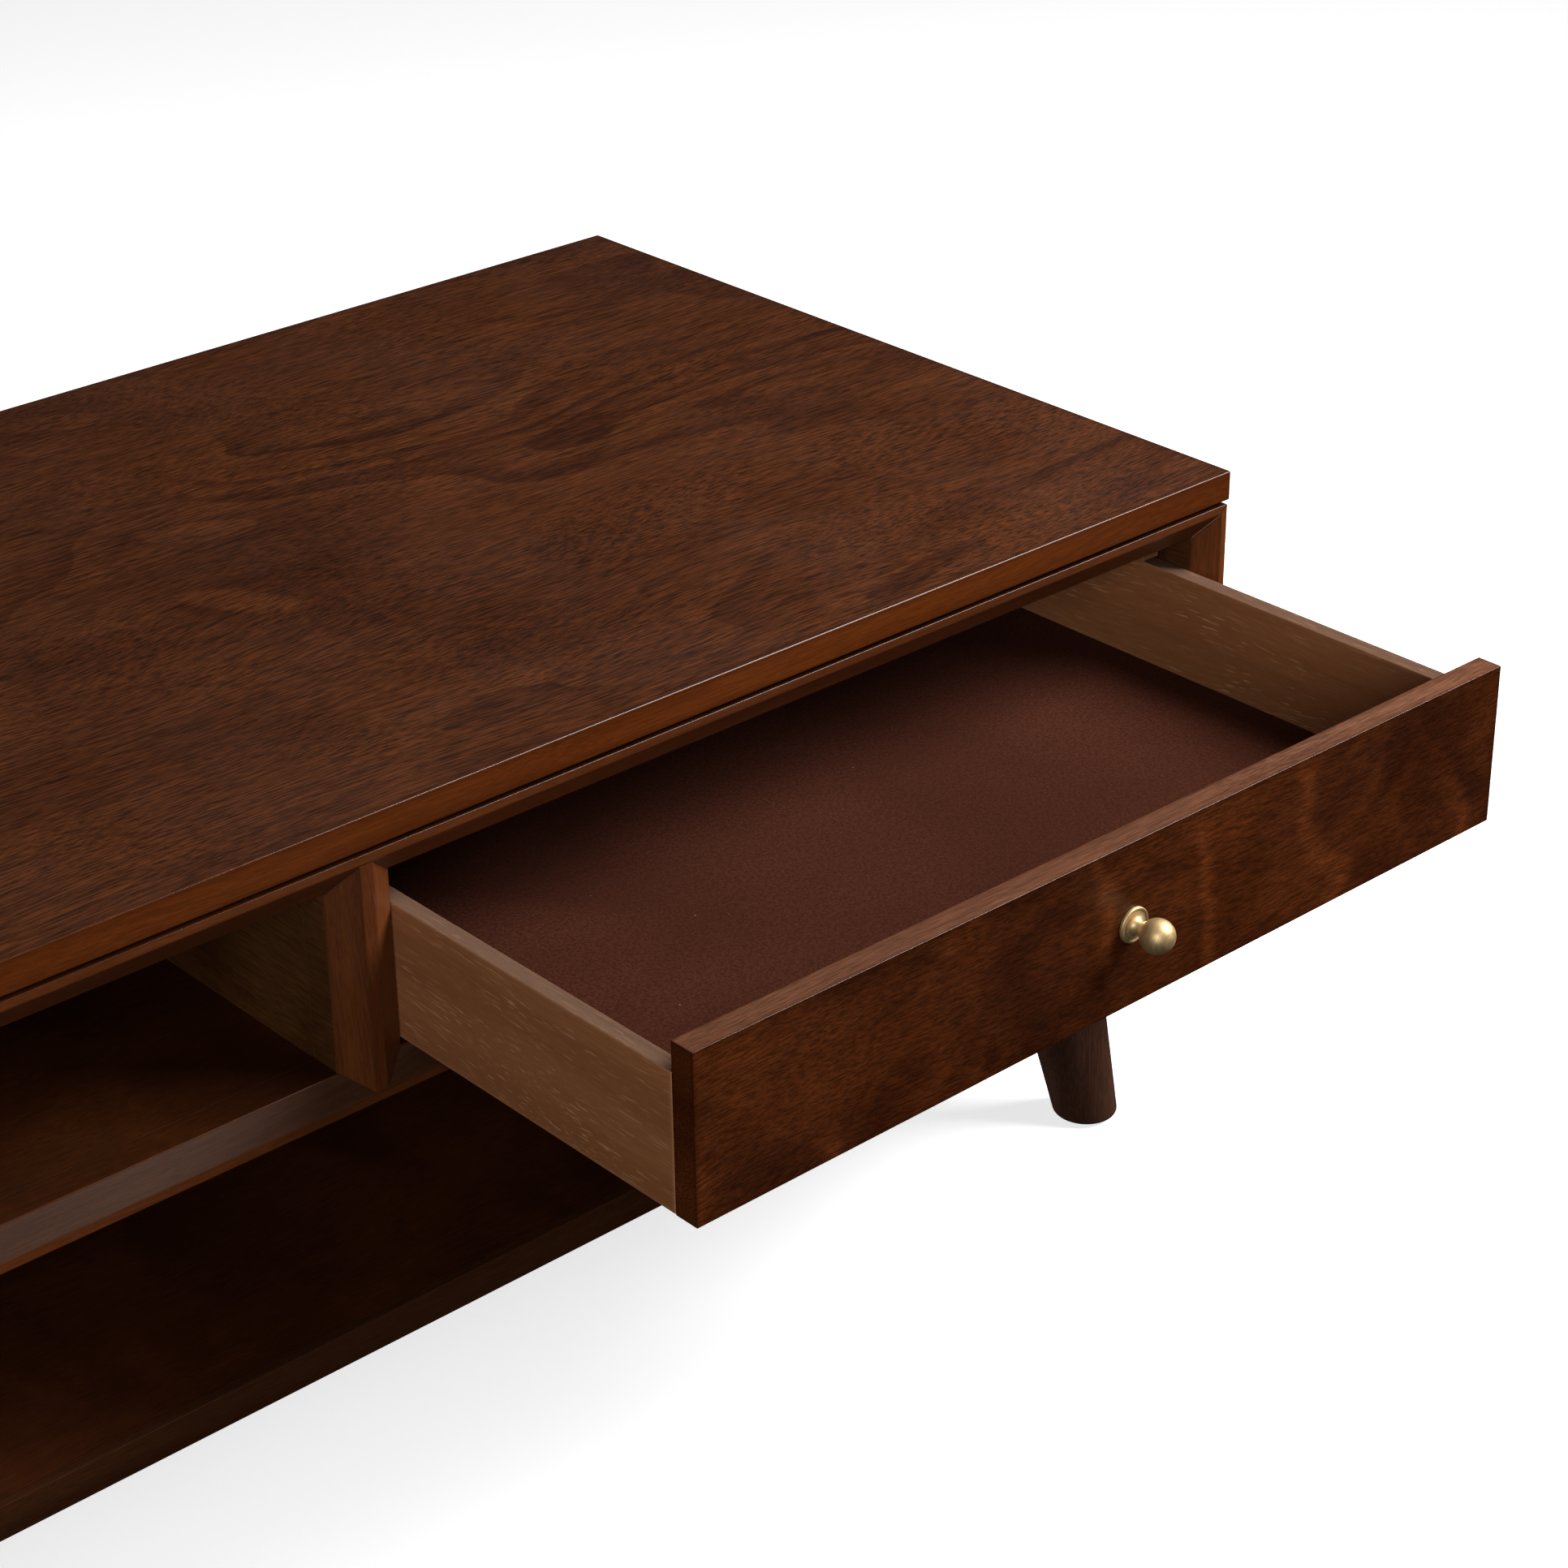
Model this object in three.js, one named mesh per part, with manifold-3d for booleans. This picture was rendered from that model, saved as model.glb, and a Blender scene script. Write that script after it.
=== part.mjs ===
// Low walnut media console: a framed case with one felt-lined drawer and one open cubby, over a full-width
// open shelf, under a top that stands off on a shadow gap, on four splayed tapered legs.
// Millimetres, +Z up, front towards -Y. The origin is on the floor under the middle of the top.
// The drawer stands pulled out by DRAWER_OPEN.
import * as THREE from 'three';
import { mergeVertices } from 'three/addons/utils/BufferGeometryUtils.js';
import Module from 'manifold-3d';

// ---- driving dimensions -------------------------------------------------------------------------------
const TOP_WIDTH = 1304;
const TOP_DEPTH = 610;
const TOP_THICK = 19;
const TOTAL_HEIGHT = 466;
const SHADOW_GAP = 3; // between the top and the case
const SIDE_REVEAL = 0.7; // the top's overhang at each end
const FRONT_REVEAL = 1; // and at the front and back
const SPACER_INSET = 12; // how far the spacer sits in behind the shadow gap

const BOARD = 20; // case boards and frame members, seen from the front
const MEMBER_DEPTH = 30; // frame members, front to back
const FACE_FLAT = 5.2; // flat band on a frame member's face
const BEVEL_DEPTH = 10.7; // how far back the bevel falls
const POST_WIDTH = 41.4;
const POST_FLAT = 7.6;
const OPENING_HEIGHT = 107; // of the drawer and cubby bays
const SHELF_HEIGHT = 133.5; // clear height of the open shelf
const SHELF_THICK = 20.5;
const LIPPING = 6; // solid edge on the shelf's front
const BACK_THICK = 6;
const BACK_INSET = 3;
const PORT_RADIUS = 30; // cable ports in the back panels
const GROMMET_WALL = 4;
const GROMMET_RIM = 4; // how far its flange laps over the panel
const GROMMET_FLANGE = 2;
const GROMMET_PROUD = 1; // how far it stands out on the inside
const GAP = 0.3; // glue line or bare clearance between fixed pieces

const DRAWER_OPEN = 240; // how far the drawer stands out from its closed place
const DRAWER_RECESS = 1.3; // closed front behind the bevels' inner edges
const DRAWER_SIDE_GAP = 1;
const FRONT_HEIGHT = 100;
const FRONT_LIFT = 3.8; // drawer front above the deck
const FRONT_THICK = 16;
const DRAWER_LENGTH = 540;
const DRAWER_SIDE = 11;
const DRAWER_SIDE_HEIGHT = 81.7;
const DRAWER_BACK_DROP = 6; // the back's top edge below the sides' top edges
const BOTTOM_THICK = 5;
const BOTTOM_LIFT = 9.5; // drawer bottom panel above the sides' lower edges
const GROOVE = 5; // how deep the bottom panel sits in its grooves
const FELT_THICK = 1.4;

const SLIP_WIDTH = 14; // waxed strips that the drawer sides run on
const KICKER_HEIGHT = 20; // battens that keep the drawer from tipping
const RUNNER_WIDTH = 22;
const RUNNER_HEIGHT = 7;
const RUN_SETBACK = 6; // strips and runner behind the frame
const RUN_SHORT = 4; // and short of the back panel
const STOP_WIDTH = 28;
const STOP_DEPTH = 12;
const STOP_CLEARANCE = 1; // between the closed drawer and its stops
const SHOE_WIDTH = 46;
const SHOE_LENGTH = 40;
const SHOE_CLEARANCE = 0.8; // between the guide shoe and the centre runner
const SHOE_LIFT = 1; // and above the deck

const KNOB_BALL_RADIUS = 9.85;
const KNOB_REACH = 17.7; // centre of the ball from the drawer front's face
const KNOB_FOOT = 7;
const KNOB_WAIST = 3.4;
const KNOB_COLLAR = 5;
const COLLAR_THICK = 1; // of the ring between the neck and the ball
const BALL_SEAT = 4.2; // radius at which the ball meets the collar
const KNOB_BORE = 8; // depth of the screw's hole
const ROSE_RADIUS = 10.4;
const ROSE_THICK = 2.2;
const ROSE_CHAMFER = 1;
const SCREW_RADIUS = 2;
const SCREW_HEAD = 4.5;
const SCREW_HEAD_THICK = 2.4;
const SCREW_REACH = 7; // how far the screw goes in past the rose

const LEG_FOOT_RADIUS = 21.7;
const LEG_TOP_RADIUS = 30.6;
const LEG_SPLAY = 0.138; // sideways run per unit of drop, towards the end and towards the front or back
const LEG_FOOT_INSET = 53.5; // foot centre in from the top's edges
const FOOT_ROUND = 3;
const PLATE_THICK = 3;
const GLIDE_THICK = 2;
const PLATE_RADIUS = 25;
const GLIDE_RADIUS = 13;
const GLIDE_CHAMFER = 1;
const BOLT_RADIUS = 4;
const BOLT_DEPTH = 32; // how far a hanger bolt goes into its leg

const ROUND_SIDES = 32;
const SMALL_SIDES = 16; // bolts, screws and their holes
const CUTTER_LENGTH = 60; // passes right through any board that it bores

// ---- places that follow from them ---------------------------------------------------------------------
const caseHalf = TOP_WIDTH / 2 - SIDE_REVEAL;
const insideHalf = caseHalf - BOARD;
const faceY = -TOP_DEPTH / 2 + FRONT_REVEAL;
const caseBackY = TOP_DEPTH / 2 - FRONT_REVEAL;
const panelFrontY = faceY + MEMBER_DEPTH + GAP;
const slabZ = TOTAL_HEIGHT - TOP_THICK;
const caseTopZ = slabZ - SHADOW_GAP;
const openingTopZ = caseTopZ - BOARD;
const deckZ = openingTopZ - OPENING_HEIGHT;
const deckUnderZ = deckZ - BOARD;
const shelfZ = deckUnderZ - SHELF_HEIGHT;
const shelfUnderZ = shelfZ - SHELF_THICK;
const backY = caseBackY - BACK_INSET - BACK_THICK;
const postHalf = POST_WIDTH / 2;
const drawerCentreX = (postHalf + insideHalf) / 2;

// ---- finishes -----------------------------------------------------------------------------------------
const finish = (color, roughness, metalness = 0) =>
  new THREE.MeshStandardMaterial({ color, roughness, metalness });
const walnut = finish(0x6b4028, 0.42);
const walnutEdge = finish(0x7d4a24, 0.45);
const walnutInside = finish(0x4a2b1b, 0.55);
const drawerWood = finish(0x8a6a45, 0.6);
const plainBoard = finish(0x5b4a3a, 0.8);
const legWood = finish(0x33201a, 0.4);
const felt = finish(0x4b2a25, 0.95);
const brass = finish(0xb89a62, 0.3, 1);
const steel = finish(0x8d8f92, 0.35, 1);
const plastic = finish(0x1b1a19, 0.5);

const cabinet = new THREE.Group();
const drawer = new THREE.Group();
drawer.position.y = -DRAWER_OPEN;
cabinet.add(drawer);

function add(name, geometry, material, parent = cabinet) {
  const mesh = new THREE.Mesh(geometry, material);
  mesh.name = name;
  parent.add(mesh);
  return mesh;
}

// ---- shapes -------------------------------------------------------------------------------------------
function board([x0, x1], [y0, y1], [z0, z1]) {
  const geometry = new THREE.BoxGeometry(x1 - x0, y1 - y0, z1 - z0);
  return geometry.translate((x0 + x1) / 2, (y0 + y1) / 2, (z0 + z1) / 2);
}

// Extrudes an outline of [across, back] points along `along`. The three unit vectors say where the
// outline's two directions and the run point; they are a right-handed set.
function member(outline, length, across, back, along, start, ends = {}) {
  const shape = new THREE.Shape(outline.map(([u, v]) => new THREE.Vector2(u, v)));
  const geometry = new THREE.ExtrudeGeometry(shape, { depth: length, bevelEnabled: false });
  mitreEnds(geometry, length, ends);
  const basis = new THREE.Matrix4().makeBasis(across, back, along).setPosition(start);
  return geometry.applyMatrix4(basis);
}

// Slopes the chosen ends of a run at 45 degrees, so that the inner edge is shorter than the outer edge.
function mitreEnds(geometry, length, { start = false, end = false }) {
  const points = geometry.attributes.position;
  for (let i = 0; i < points.count; i += 1) {
    const atStart = points.getZ(i) < length / 2;
    if (atStart && start) points.setZ(i, points.getX(i));
    if (!atStart && end) points.setZ(i, length - points.getX(i));
  }
}

const X = new THREE.Vector3(1, 0, 0);
const Y = new THREE.Vector3(0, 1, 0);
const Z = new THREE.Vector3(0, 0, 1);
const minus = (v) => v.clone().negate();
const at = (x, y, z) => new THREE.Vector3(x, y, z);

// A frame member's section: a flat face by its outer edge, then a bevel that falls back to its inner edge.
const frameSection = [
  [0, 0],
  [FACE_FLAT, 0],
  [BOARD, BEVEL_DEPTH],
  [BOARD, MEMBER_DEPTH],
  [0, MEMBER_DEPTH],
];
const postSection = [
  [-POST_FLAT / 2, 0],
  [POST_FLAT / 2, 0],
  [postHalf, BEVEL_DEPTH],
  [postHalf, MEMBER_DEPTH],
  [-postHalf, MEMBER_DEPTH],
  [-postHalf, BEVEL_DEPTH],
];

// A body turned about +Z from a profile of [radius, height] points.
function turned(profile, sides = ROUND_SIDES) {
  const points = profile.map(([r, z]) => new THREE.Vector2(r, z));
  return new THREE.LatheGeometry(points, sides).rotateX(Math.PI / 2);
}

// ---- boolean cuts -------------------------------------------------------------------------------------
const wasm = await Module();
wasm.setup();

function toSolid(geometry) {
  const bare = geometry.clone();
  bare.deleteAttribute('normal');
  bare.deleteAttribute('uv');
  const merged = mergeVertices(bare, 1e-3);
  const mesh = new wasm.Mesh({
    numProp: 3,
    vertProperties: new Float32Array(merged.attributes.position.array),
    triVerts: new Uint32Array(merged.index.array),
  });
  return new wasm.Manifold(mesh);
}

function toGeometry(solid) {
  const mesh = solid.getMesh();
  const geometry = new THREE.BufferGeometry();
  geometry.setAttribute('position', new THREE.BufferAttribute(mesh.vertProperties, 3));
  geometry.setIndex(new THREE.BufferAttribute(mesh.triVerts, 1));
  return geometry;
}

function cut(geometry, ...cutters) {
  let solid = toSolid(geometry);
  for (const cutter of cutters) solid = solid.subtract(toSolid(cutter));
  return toGeometry(solid);
}

// ---- top and shadow gap -------------------------------------------------------------------------------
add(
  'top_slab',
  board([-TOP_WIDTH / 2, TOP_WIDTH / 2], [-TOP_DEPTH / 2, TOP_DEPTH / 2], [slabZ, TOTAL_HEIGHT]),
  walnut,
);
add(
  'top_spacer',
  board(
    [-caseHalf + SPACER_INSET, caseHalf - SPACER_INSET],
    [faceY + SPACER_INSET, caseBackY - SPACER_INSET],
    [caseTopZ + GAP, slabZ - GAP],
  ),
  plastic,
);

// ---- face frame ---------------------------------------------------------------------------------------
const stileLength = caseTopZ - shelfZ - GAP;
const topRailLength = 2 * (caseHalf - GAP);
const deckRailLength = 2 * (caseHalf - FACE_FLAT - GAP);
const postFoot = deckUnderZ + FACE_FLAT + GAP;
const postTop = caseTopZ - FACE_FLAT - GAP;
const mitres = { start: true, end: true };
const leftStile = () =>
  member(frameSection, stileLength, X, Y, Z, at(-caseHalf, faceY, shelfZ + GAP), { end: true });
const rightStile = () =>
  member(frameSection, stileLength, minus(X), Y, minus(Z), at(caseHalf, faceY, caseTopZ), { start: true });
const topRail = (ends) =>
  member(frameSection, topRailLength, minus(Z), Y, X, at(-topRailLength / 2, faceY, caseTopZ), ends);
const deckRail = () =>
  member(frameSection, deckRailLength, Z, Y, minus(X), at(deckRailLength / 2, faceY, deckUnderZ));

add('left_stile', leftStile(), walnutEdge);
add('right_stile', rightStile(), walnutEdge);
add('top_rail', topRail(mitres), walnutEdge);
// The deck's rail and the post end where the members they meet start to fall back, and fit over their bevels.
const pastStiles = [leftStile().translate(GAP, 0, 0), rightStile().translate(-GAP, 0, 0)];
add('mid_rail', cut(deckRail(), ...pastStiles), walnutEdge);
const pastRails = [topRail().translate(0, 0, -GAP), deckRail().translate(0, 0, GAP)];
add(
  'divider_post',
  cut(member(postSection, postTop - postFoot, X, Y, Z, at(0, faceY, postFoot)), ...pastRails),
  walnutEdge,
);

// ---- case panels --------------------------------------------------------------------------------------
const panelInnerHalf = insideHalf - GAP;
for (const [side, sign] of [
  ['left', -1],
  ['right', 1],
]) {
  const across = [sign * insideHalf, sign * caseHalf].sort((a, b) => a - b);
  add(`${side}_side_panel`, board(across, [panelFrontY, caseBackY], [shelfZ + GAP, caseTopZ]), walnut);
  const divider = [sign * (GAP / 2), sign * postHalf].sort((a, b) => a - b);
  add(
    `divider_panel_${side}`,
    board(divider, [panelFrontY, backY - GAP], [deckZ + GAP, openingTopZ - GAP]),
    walnutInside,
  );
}
add(
  'case_top_panel',
  board([-panelInnerHalf, panelInnerHalf], [panelFrontY, caseBackY], [openingTopZ, caseTopZ]),
  walnutInside,
);
add(
  'deck_panel',
  board([-panelInnerHalf, panelInnerHalf], [panelFrontY, backY - GAP], [deckUnderZ, deckZ]),
  walnutInside,
);
add(
  'bottom_shelf',
  board([-caseHalf, caseHalf], [faceY + LIPPING + GAP, caseBackY], [shelfUnderZ, shelfZ]),
  walnutInside,
);
add(
  'shelf_lipping',
  board([-caseHalf, caseHalf], [faceY, faceY + LIPPING], [shelfUnderZ, shelfZ]),
  walnutEdge,
);

// ---- back panels and cable ports ----------------------------------------------------------------------
function portCutter(x, z) {
  return new THREE.CylinderGeometry(PORT_RADIUS, PORT_RADIUS, CUTTER_LENGTH, ROUND_SIDES)
    .translate(x, backY, z);
}

// A flanged ring that lines a port: its rim sits behind the panel.
function grommet(x, z) {
  const inner = PORT_RADIUS - GROMMET_WALL;
  const outer = PORT_RADIUS - GAP;
  const rim = PORT_RADIUS + GROMMET_RIM;
  const behind = BACK_THICK + GAP;
  const profile = [
    [inner, -GROMMET_PROUD],
    [outer, -GROMMET_PROUD],
    [outer, behind],
    [rim, behind],
    [rim, behind + GROMMET_FLANGE],
    [inner, behind + GROMMET_FLANGE],
    [inner, -GROMMET_PROUD],
  ];
  return turned(profile).rotateX(-Math.PI / 2).translate(x, backY, z);
}

const backAcross = (x0, x1) => [x0 + GAP, x1 - GAP];
const upperBack = [deckUnderZ + GAP, openingTopZ - GAP];
const lowerBack = [shelfZ + GAP, deckUnderZ - GAP];
const cubbyPort = [-drawerCentreX, deckZ + OPENING_HEIGHT / 2];
const shelfPort = [0, shelfZ + SHELF_HEIGHT / 2];
const backDeep = [backY, backY + BACK_THICK];
add(
  'back_panel_cubby',
  cut(board(backAcross(-insideHalf, 0), backDeep, upperBack), portCutter(...cubbyPort)),
  plainBoard,
);
add('back_panel_drawer', board(backAcross(0, insideHalf), backDeep, upperBack), plainBoard);
add(
  'back_panel_shelf',
  cut(board(backAcross(-insideHalf, insideHalf), backDeep, lowerBack), portCutter(...shelfPort)),
  plainBoard,
);
add('cable_grommet_cubby', grommet(...cubbyPort), plastic);
add('cable_grommet_shelf', grommet(...shelfPort), plastic);

// ---- drawer runners, on the case ----------------------------------------------------------------------
const runFrontY = panelFrontY + RUN_SETBACK;
const runBackY = backY - RUN_SHORT;
const boxLeftX = postHalf + DRAWER_SIDE_GAP;
const boxRightX = insideHalf - DRAWER_SIDE_GAP;
const slipTop = deckZ + FRONT_LIFT - GAP;
const sideTopZ = deckZ + FRONT_LIFT + DRAWER_SIDE_HEIGHT;
const stopY = faceY + BEVEL_DEPTH + DRAWER_RECESS + DRAWER_LENGTH + STOP_CLEARANCE;
const kickerFoot = openingTopZ - KICKER_HEIGHT;
for (const [side, wall, inwards] of [
  ['left', boxLeftX, 1],
  ['right', boxRightX, -1],
]) {
  const strip = [wall, wall + inwards * SLIP_WIDTH].sort((a, b) => a - b);
  const block = [wall, wall + inwards * STOP_WIDTH].sort((a, b) => a - b);
  add(`drawer_slip_${side}`, board(strip, [runFrontY, stopY - GAP], [deckZ + GAP, slipTop]), drawerWood);
  add(
    `drawer_kicker_${side}`,
    board(strip, [runFrontY, runBackY], [kickerFoot, openingTopZ - GAP]),
    drawerWood,
  );
  add(
    `drawer_stop_${side}`,
    board(block, [stopY, stopY + STOP_DEPTH], [deckZ + GAP, deckZ + BOARD]),
    drawerWood,
  );
}
const runnerAcross = [drawerCentreX - RUNNER_WIDTH / 2, drawerCentreX + RUNNER_WIDTH / 2];
add(
  'drawer_centre_runner',
  board(runnerAcross, [runFrontY, runBackY], [deckZ + GAP, deckZ + GAP + RUNNER_HEIGHT]),
  drawerWood,
);

// ---- drawer, drawn closed inside its own group ----------------------------------------------------------
const frontY = faceY + BEVEL_DEPTH + DRAWER_RECESS;
const boxFrontY = frontY + FRONT_THICK;
const boxBackY = frontY + DRAWER_LENGTH;
const frontZ = deckZ + FRONT_LIFT;
const knobZ = frontZ + FRONT_HEIGHT / 2;
const bottomZ = frontZ + BOTTOM_LIFT;
const innerLeftX = boxLeftX + DRAWER_SIDE;
const innerRightX = boxRightX - DRAWER_SIDE;
const screwBore = SCREW_RADIUS + GAP;

function screwHole() {
  return new THREE.CylinderGeometry(screwBore, screwBore, CUTTER_LENGTH, SMALL_SIDES)
    .translate(drawerCentreX, frontY, knobZ);
}

const bottomSlot = [bottomZ - GAP / 2, bottomZ + BOTTOM_THICK + GAP / 2];
const frontGroove = board(
  [innerLeftX - GROOVE, innerRightX + GROOVE],
  [boxFrontY - GROOVE, boxFrontY + GROOVE],
  bottomSlot,
);
const frontBlank = board([boxLeftX, boxRightX], [frontY, boxFrontY], [frontZ, frontZ + FRONT_HEIGHT]);
add('drawer_front', cut(frontBlank, frontGroove, screwHole()), walnut, drawer);

// A side's section, with the groove for the bottom panel on its inner face.
const sideSection = [
  [0, 0],
  [DRAWER_SIDE, 0],
  [DRAWER_SIDE, BOTTOM_LIFT - GAP / 2],
  [DRAWER_SIDE - GROOVE, BOTTOM_LIFT - GAP / 2],
  [DRAWER_SIDE - GROOVE, BOTTOM_LIFT + BOTTOM_THICK + GAP / 2],
  [DRAWER_SIDE, BOTTOM_LIFT + BOTTOM_THICK + GAP / 2],
  [DRAWER_SIDE, DRAWER_SIDE_HEIGHT],
  [0, DRAWER_SIDE_HEIGHT],
];
const sideLength = DRAWER_LENGTH - FRONT_THICK - GAP;
add(
  'drawer_side_left',
  member(sideSection, sideLength, X, Z, minus(Y), at(boxLeftX, boxBackY, frontZ)),
  drawerWood, drawer,
);
add(
  'drawer_side_right',
  member(sideSection, sideLength, minus(X), Z, Y, at(boxRightX, boxFrontY + GAP, frontZ)),
  drawerWood, drawer,
);

const between = [innerLeftX + GAP, innerRightX - GAP];
const backFrontY = boxBackY - DRAWER_SIDE;
const backFoot = bottomZ + BOTTOM_THICK + GAP;
add(
  'drawer_back',
  board(between, [backFrontY, boxBackY], [backFoot, sideTopZ - DRAWER_BACK_DROP]),
  drawerWood, drawer,
);
const slotEase = 0.5; // the panel floats this far short of the bottom of its grooves
const bottomAcross = [innerLeftX - GROOVE + slotEase, innerRightX + GROOVE - slotEase];
const bottomAlong = [boxFrontY - GROOVE + slotEase, boxBackY];
add('drawer_bottom', board(bottomAcross, bottomAlong, [bottomZ, bottomZ + BOTTOM_THICK]), plainBoard, drawer);
const feltFoot = bottomZ + BOTTOM_THICK + GAP;
add(
  'drawer_felt',
  board(between, [boxFrontY + GAP, backFrontY - GAP], [feltFoot, feltFoot + FELT_THICK]),
  felt, drawer,
);

// The shoe under the drawer's back straddles the centre runner.
const shoeTop = bottomZ - GAP;
const shoeFoot = deckZ + SHOE_LIFT;
const shoeSlot = RUNNER_WIDTH / 2 + SHOE_CLEARANCE;
const shoeCeiling = deckZ + GAP + RUNNER_HEIGHT + SHOE_CLEARANCE;
const shoeSection = [
  [-SHOE_WIDTH / 2, shoeFoot],
  [-shoeSlot, shoeFoot],
  [-shoeSlot, shoeCeiling],
  [shoeSlot, shoeCeiling],
  [shoeSlot, shoeFoot],
  [SHOE_WIDTH / 2, shoeFoot],
  [SHOE_WIDTH / 2, shoeTop],
  [-SHOE_WIDTH / 2, shoeTop],
];
add(
  'drawer_guide_shoe',
  member(shoeSection, SHOE_LENGTH, X, Z, minus(Y), at(drawerCentreX, boxBackY, 0)),
  plastic, drawer,
);

// ---- knob: a rose, a turned neck and ball, and the screw through the drawer front ------------------------
const toKnob = (geometry) => geometry.rotateX(Math.PI / 2).translate(drawerCentreX, frontY, knobZ);
const roseProfile = [
  [screwBore, GAP],
  [ROSE_RADIUS, GAP],
  [ROSE_RADIUS, ROSE_THICK - ROSE_CHAMFER],
  [ROSE_RADIUS - ROSE_CHAMFER, ROSE_THICK],
  [screwBore, ROSE_THICK],
  [screwBore, GAP],
];

// The neck narrows in a cove from the rose to a small collar, and the ball stands on the collar.
function knobProfile() {
  const base = ROSE_THICK + GAP;
  const boreEnd = base + KNOB_BORE;
  const ballStart = Math.asin(BALL_SEAT / KNOB_BALL_RADIUS);
  const collarFront = KNOB_REACH - KNOB_BALL_RADIUS * Math.cos(ballStart) - GAP;
  const coveTop = collarFront - COLLAR_THICK - GAP;
  const points = [
    [0, boreEnd],
    [screwBore, boreEnd],
    [screwBore, base],
    [KNOB_FOOT, base],
  ];
  const coveSteps = 5;
  for (let i = 1; i <= coveSteps; i += 1) {
    const turn = (i / coveSteps) * (Math.PI / 2);
    const radius = KNOB_FOOT - (KNOB_FOOT - KNOB_WAIST) * Math.sin(turn);
    const height = base + (coveTop - base) * (1 - Math.cos(turn));
    points.push([radius, height]);
  }
  points.push([KNOB_COLLAR, coveTop + GAP], [KNOB_COLLAR, collarFront]);
  const ballSteps = 12;
  for (let i = 0; i <= ballSteps; i += 1) {
    const turn = ballStart + (Math.PI - ballStart) * (i / ballSteps);
    points.push([KNOB_BALL_RADIUS * Math.sin(turn), KNOB_REACH - KNOB_BALL_RADIUS * Math.cos(turn)]);
  }
  points[points.length - 1][0] = 0;
  return points;
}
add('knob_rose', toKnob(turned(roseProfile)), brass, drawer);
add('knob', toKnob(turned(knobProfile())), brass, drawer);

const underHead = -FRONT_THICK - GAP;
const headEnd = underHead - SCREW_HEAD_THICK;
const screwTip = ROSE_THICK + SCREW_REACH;
const screwProfile = [
  [0, headEnd],
  [SCREW_HEAD - SCREW_HEAD_THICK / 2, headEnd],
  [SCREW_HEAD, headEnd + SCREW_HEAD_THICK / 2],
  [SCREW_HEAD, underHead],
  [SCREW_RADIUS, underHead],
  [SCREW_RADIUS, screwTip],
  [0, screwTip],
];
add('knob_screw', toKnob(turned(screwProfile, SMALL_SIDES)), steel, drawer);

// ---- legs: level at the foot and at the top, leaning outwards ------------------------------------------
const legTopZ = shelfUnderZ - GAP - PLATE_THICK;
const legFootZ = GLIDE_THICK + GAP;
const boltFoot = legTopZ - BOLT_DEPTH;
const boltTop = shelfUnderZ - 2 * GAP;
const boltHole = BOLT_RADIUS + GAP;
const taper = (LEG_TOP_RADIUS - LEG_FOOT_RADIUS) / shelfUnderZ;
const legRadius = (z) => LEG_FOOT_RADIUS + taper * z;
const legProfile = [[0, legFootZ]];
const roundSteps = 3;
for (let i = 0; i <= roundSteps; i += 1) {
  const turn = (i / roundSteps) * (Math.PI / 2);
  legProfile.push([
    legRadius(legFootZ + FOOT_ROUND) - FOOT_ROUND * (1 - Math.sin(turn)),
    legFootZ + FOOT_ROUND * (1 - Math.cos(turn)),
  ]);
}
legProfile.push(
  [legRadius(legTopZ - GAP), legTopZ - GAP],
  [boltHole, legTopZ - GAP],
  [boltHole, boltFoot - GAP],
  [0, boltFoot - GAP],
);
const boltProfile = [
  [0, boltFoot],
  [BOLT_RADIUS, boltFoot],
  [BOLT_RADIUS, boltTop],
  [0, boltTop],
];
const plateBore = BOLT_RADIUS + 1;
const plateProfile = [
  [plateBore, legTopZ],
  [PLATE_RADIUS, legTopZ],
  [PLATE_RADIUS, shelfUnderZ - GAP],
  [plateBore, shelfUnderZ - GAP],
  [plateBore, legTopZ],
];
const glideProfile = [
  [0, 0],
  [GLIDE_RADIUS - GLIDE_CHAMFER, 0],
  [GLIDE_RADIUS, GLIDE_CHAMFER],
  [GLIDE_RADIUS, GLIDE_THICK],
  [0, GLIDE_THICK],
];
const footX = TOP_WIDTH / 2 - LEG_FOOT_INSET;
const footY = TOP_DEPTH / 2 - LEG_FOOT_INSET;
for (const [corner, sx, sy] of [
  ['front_left', -1, -1],
  ['front_right', 1, -1],
  ['back_left', -1, 1],
  ['back_right', 1, 1],
]) {
  // Each level slides towards the middle of the case as it rises.
  const lean = new THREE.Matrix4().set(
    1, 0, -sx * LEG_SPLAY, sx * footX,
    0, 1, -sy * LEG_SPLAY, sy * footY,
    0, 0, 1, 0,
    0, 0, 0, 1,
  );
  const topX = sx * (footX - LEG_SPLAY * shelfUnderZ);
  const topY = sy * (footY - LEG_SPLAY * shelfUnderZ);
  add(`leg_${corner}`, turned(legProfile).applyMatrix4(lean), legWood);
  add(`leg_bolt_${corner}`, turned(boltProfile, SMALL_SIDES).applyMatrix4(lean), steel);
  add(`leg_plate_${corner}`, turned(plateProfile).translate(topX, topY, 0), steel);
  add(`leg_glide_${corner}`, turned(glideProfile).translate(sx * footX, sy * footY, 0), plastic);
}

export default cabinet;
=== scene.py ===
"""Low walnut media console: every visible surface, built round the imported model.

Metres, +Z up, front towards -Y. A board takes its place and size from the box or the solid of the node that
it replaces. The knob and the legs take their places from theirs, and repeat the part's turned sizes. Small
rounded edges are called arrises.
"""

import logging
import math
from collections.abc import Callable
from dataclasses import dataclass
from enum import Enum

import bmesh
import bpy
from mathutils import Matrix, Vector, noise


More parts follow.
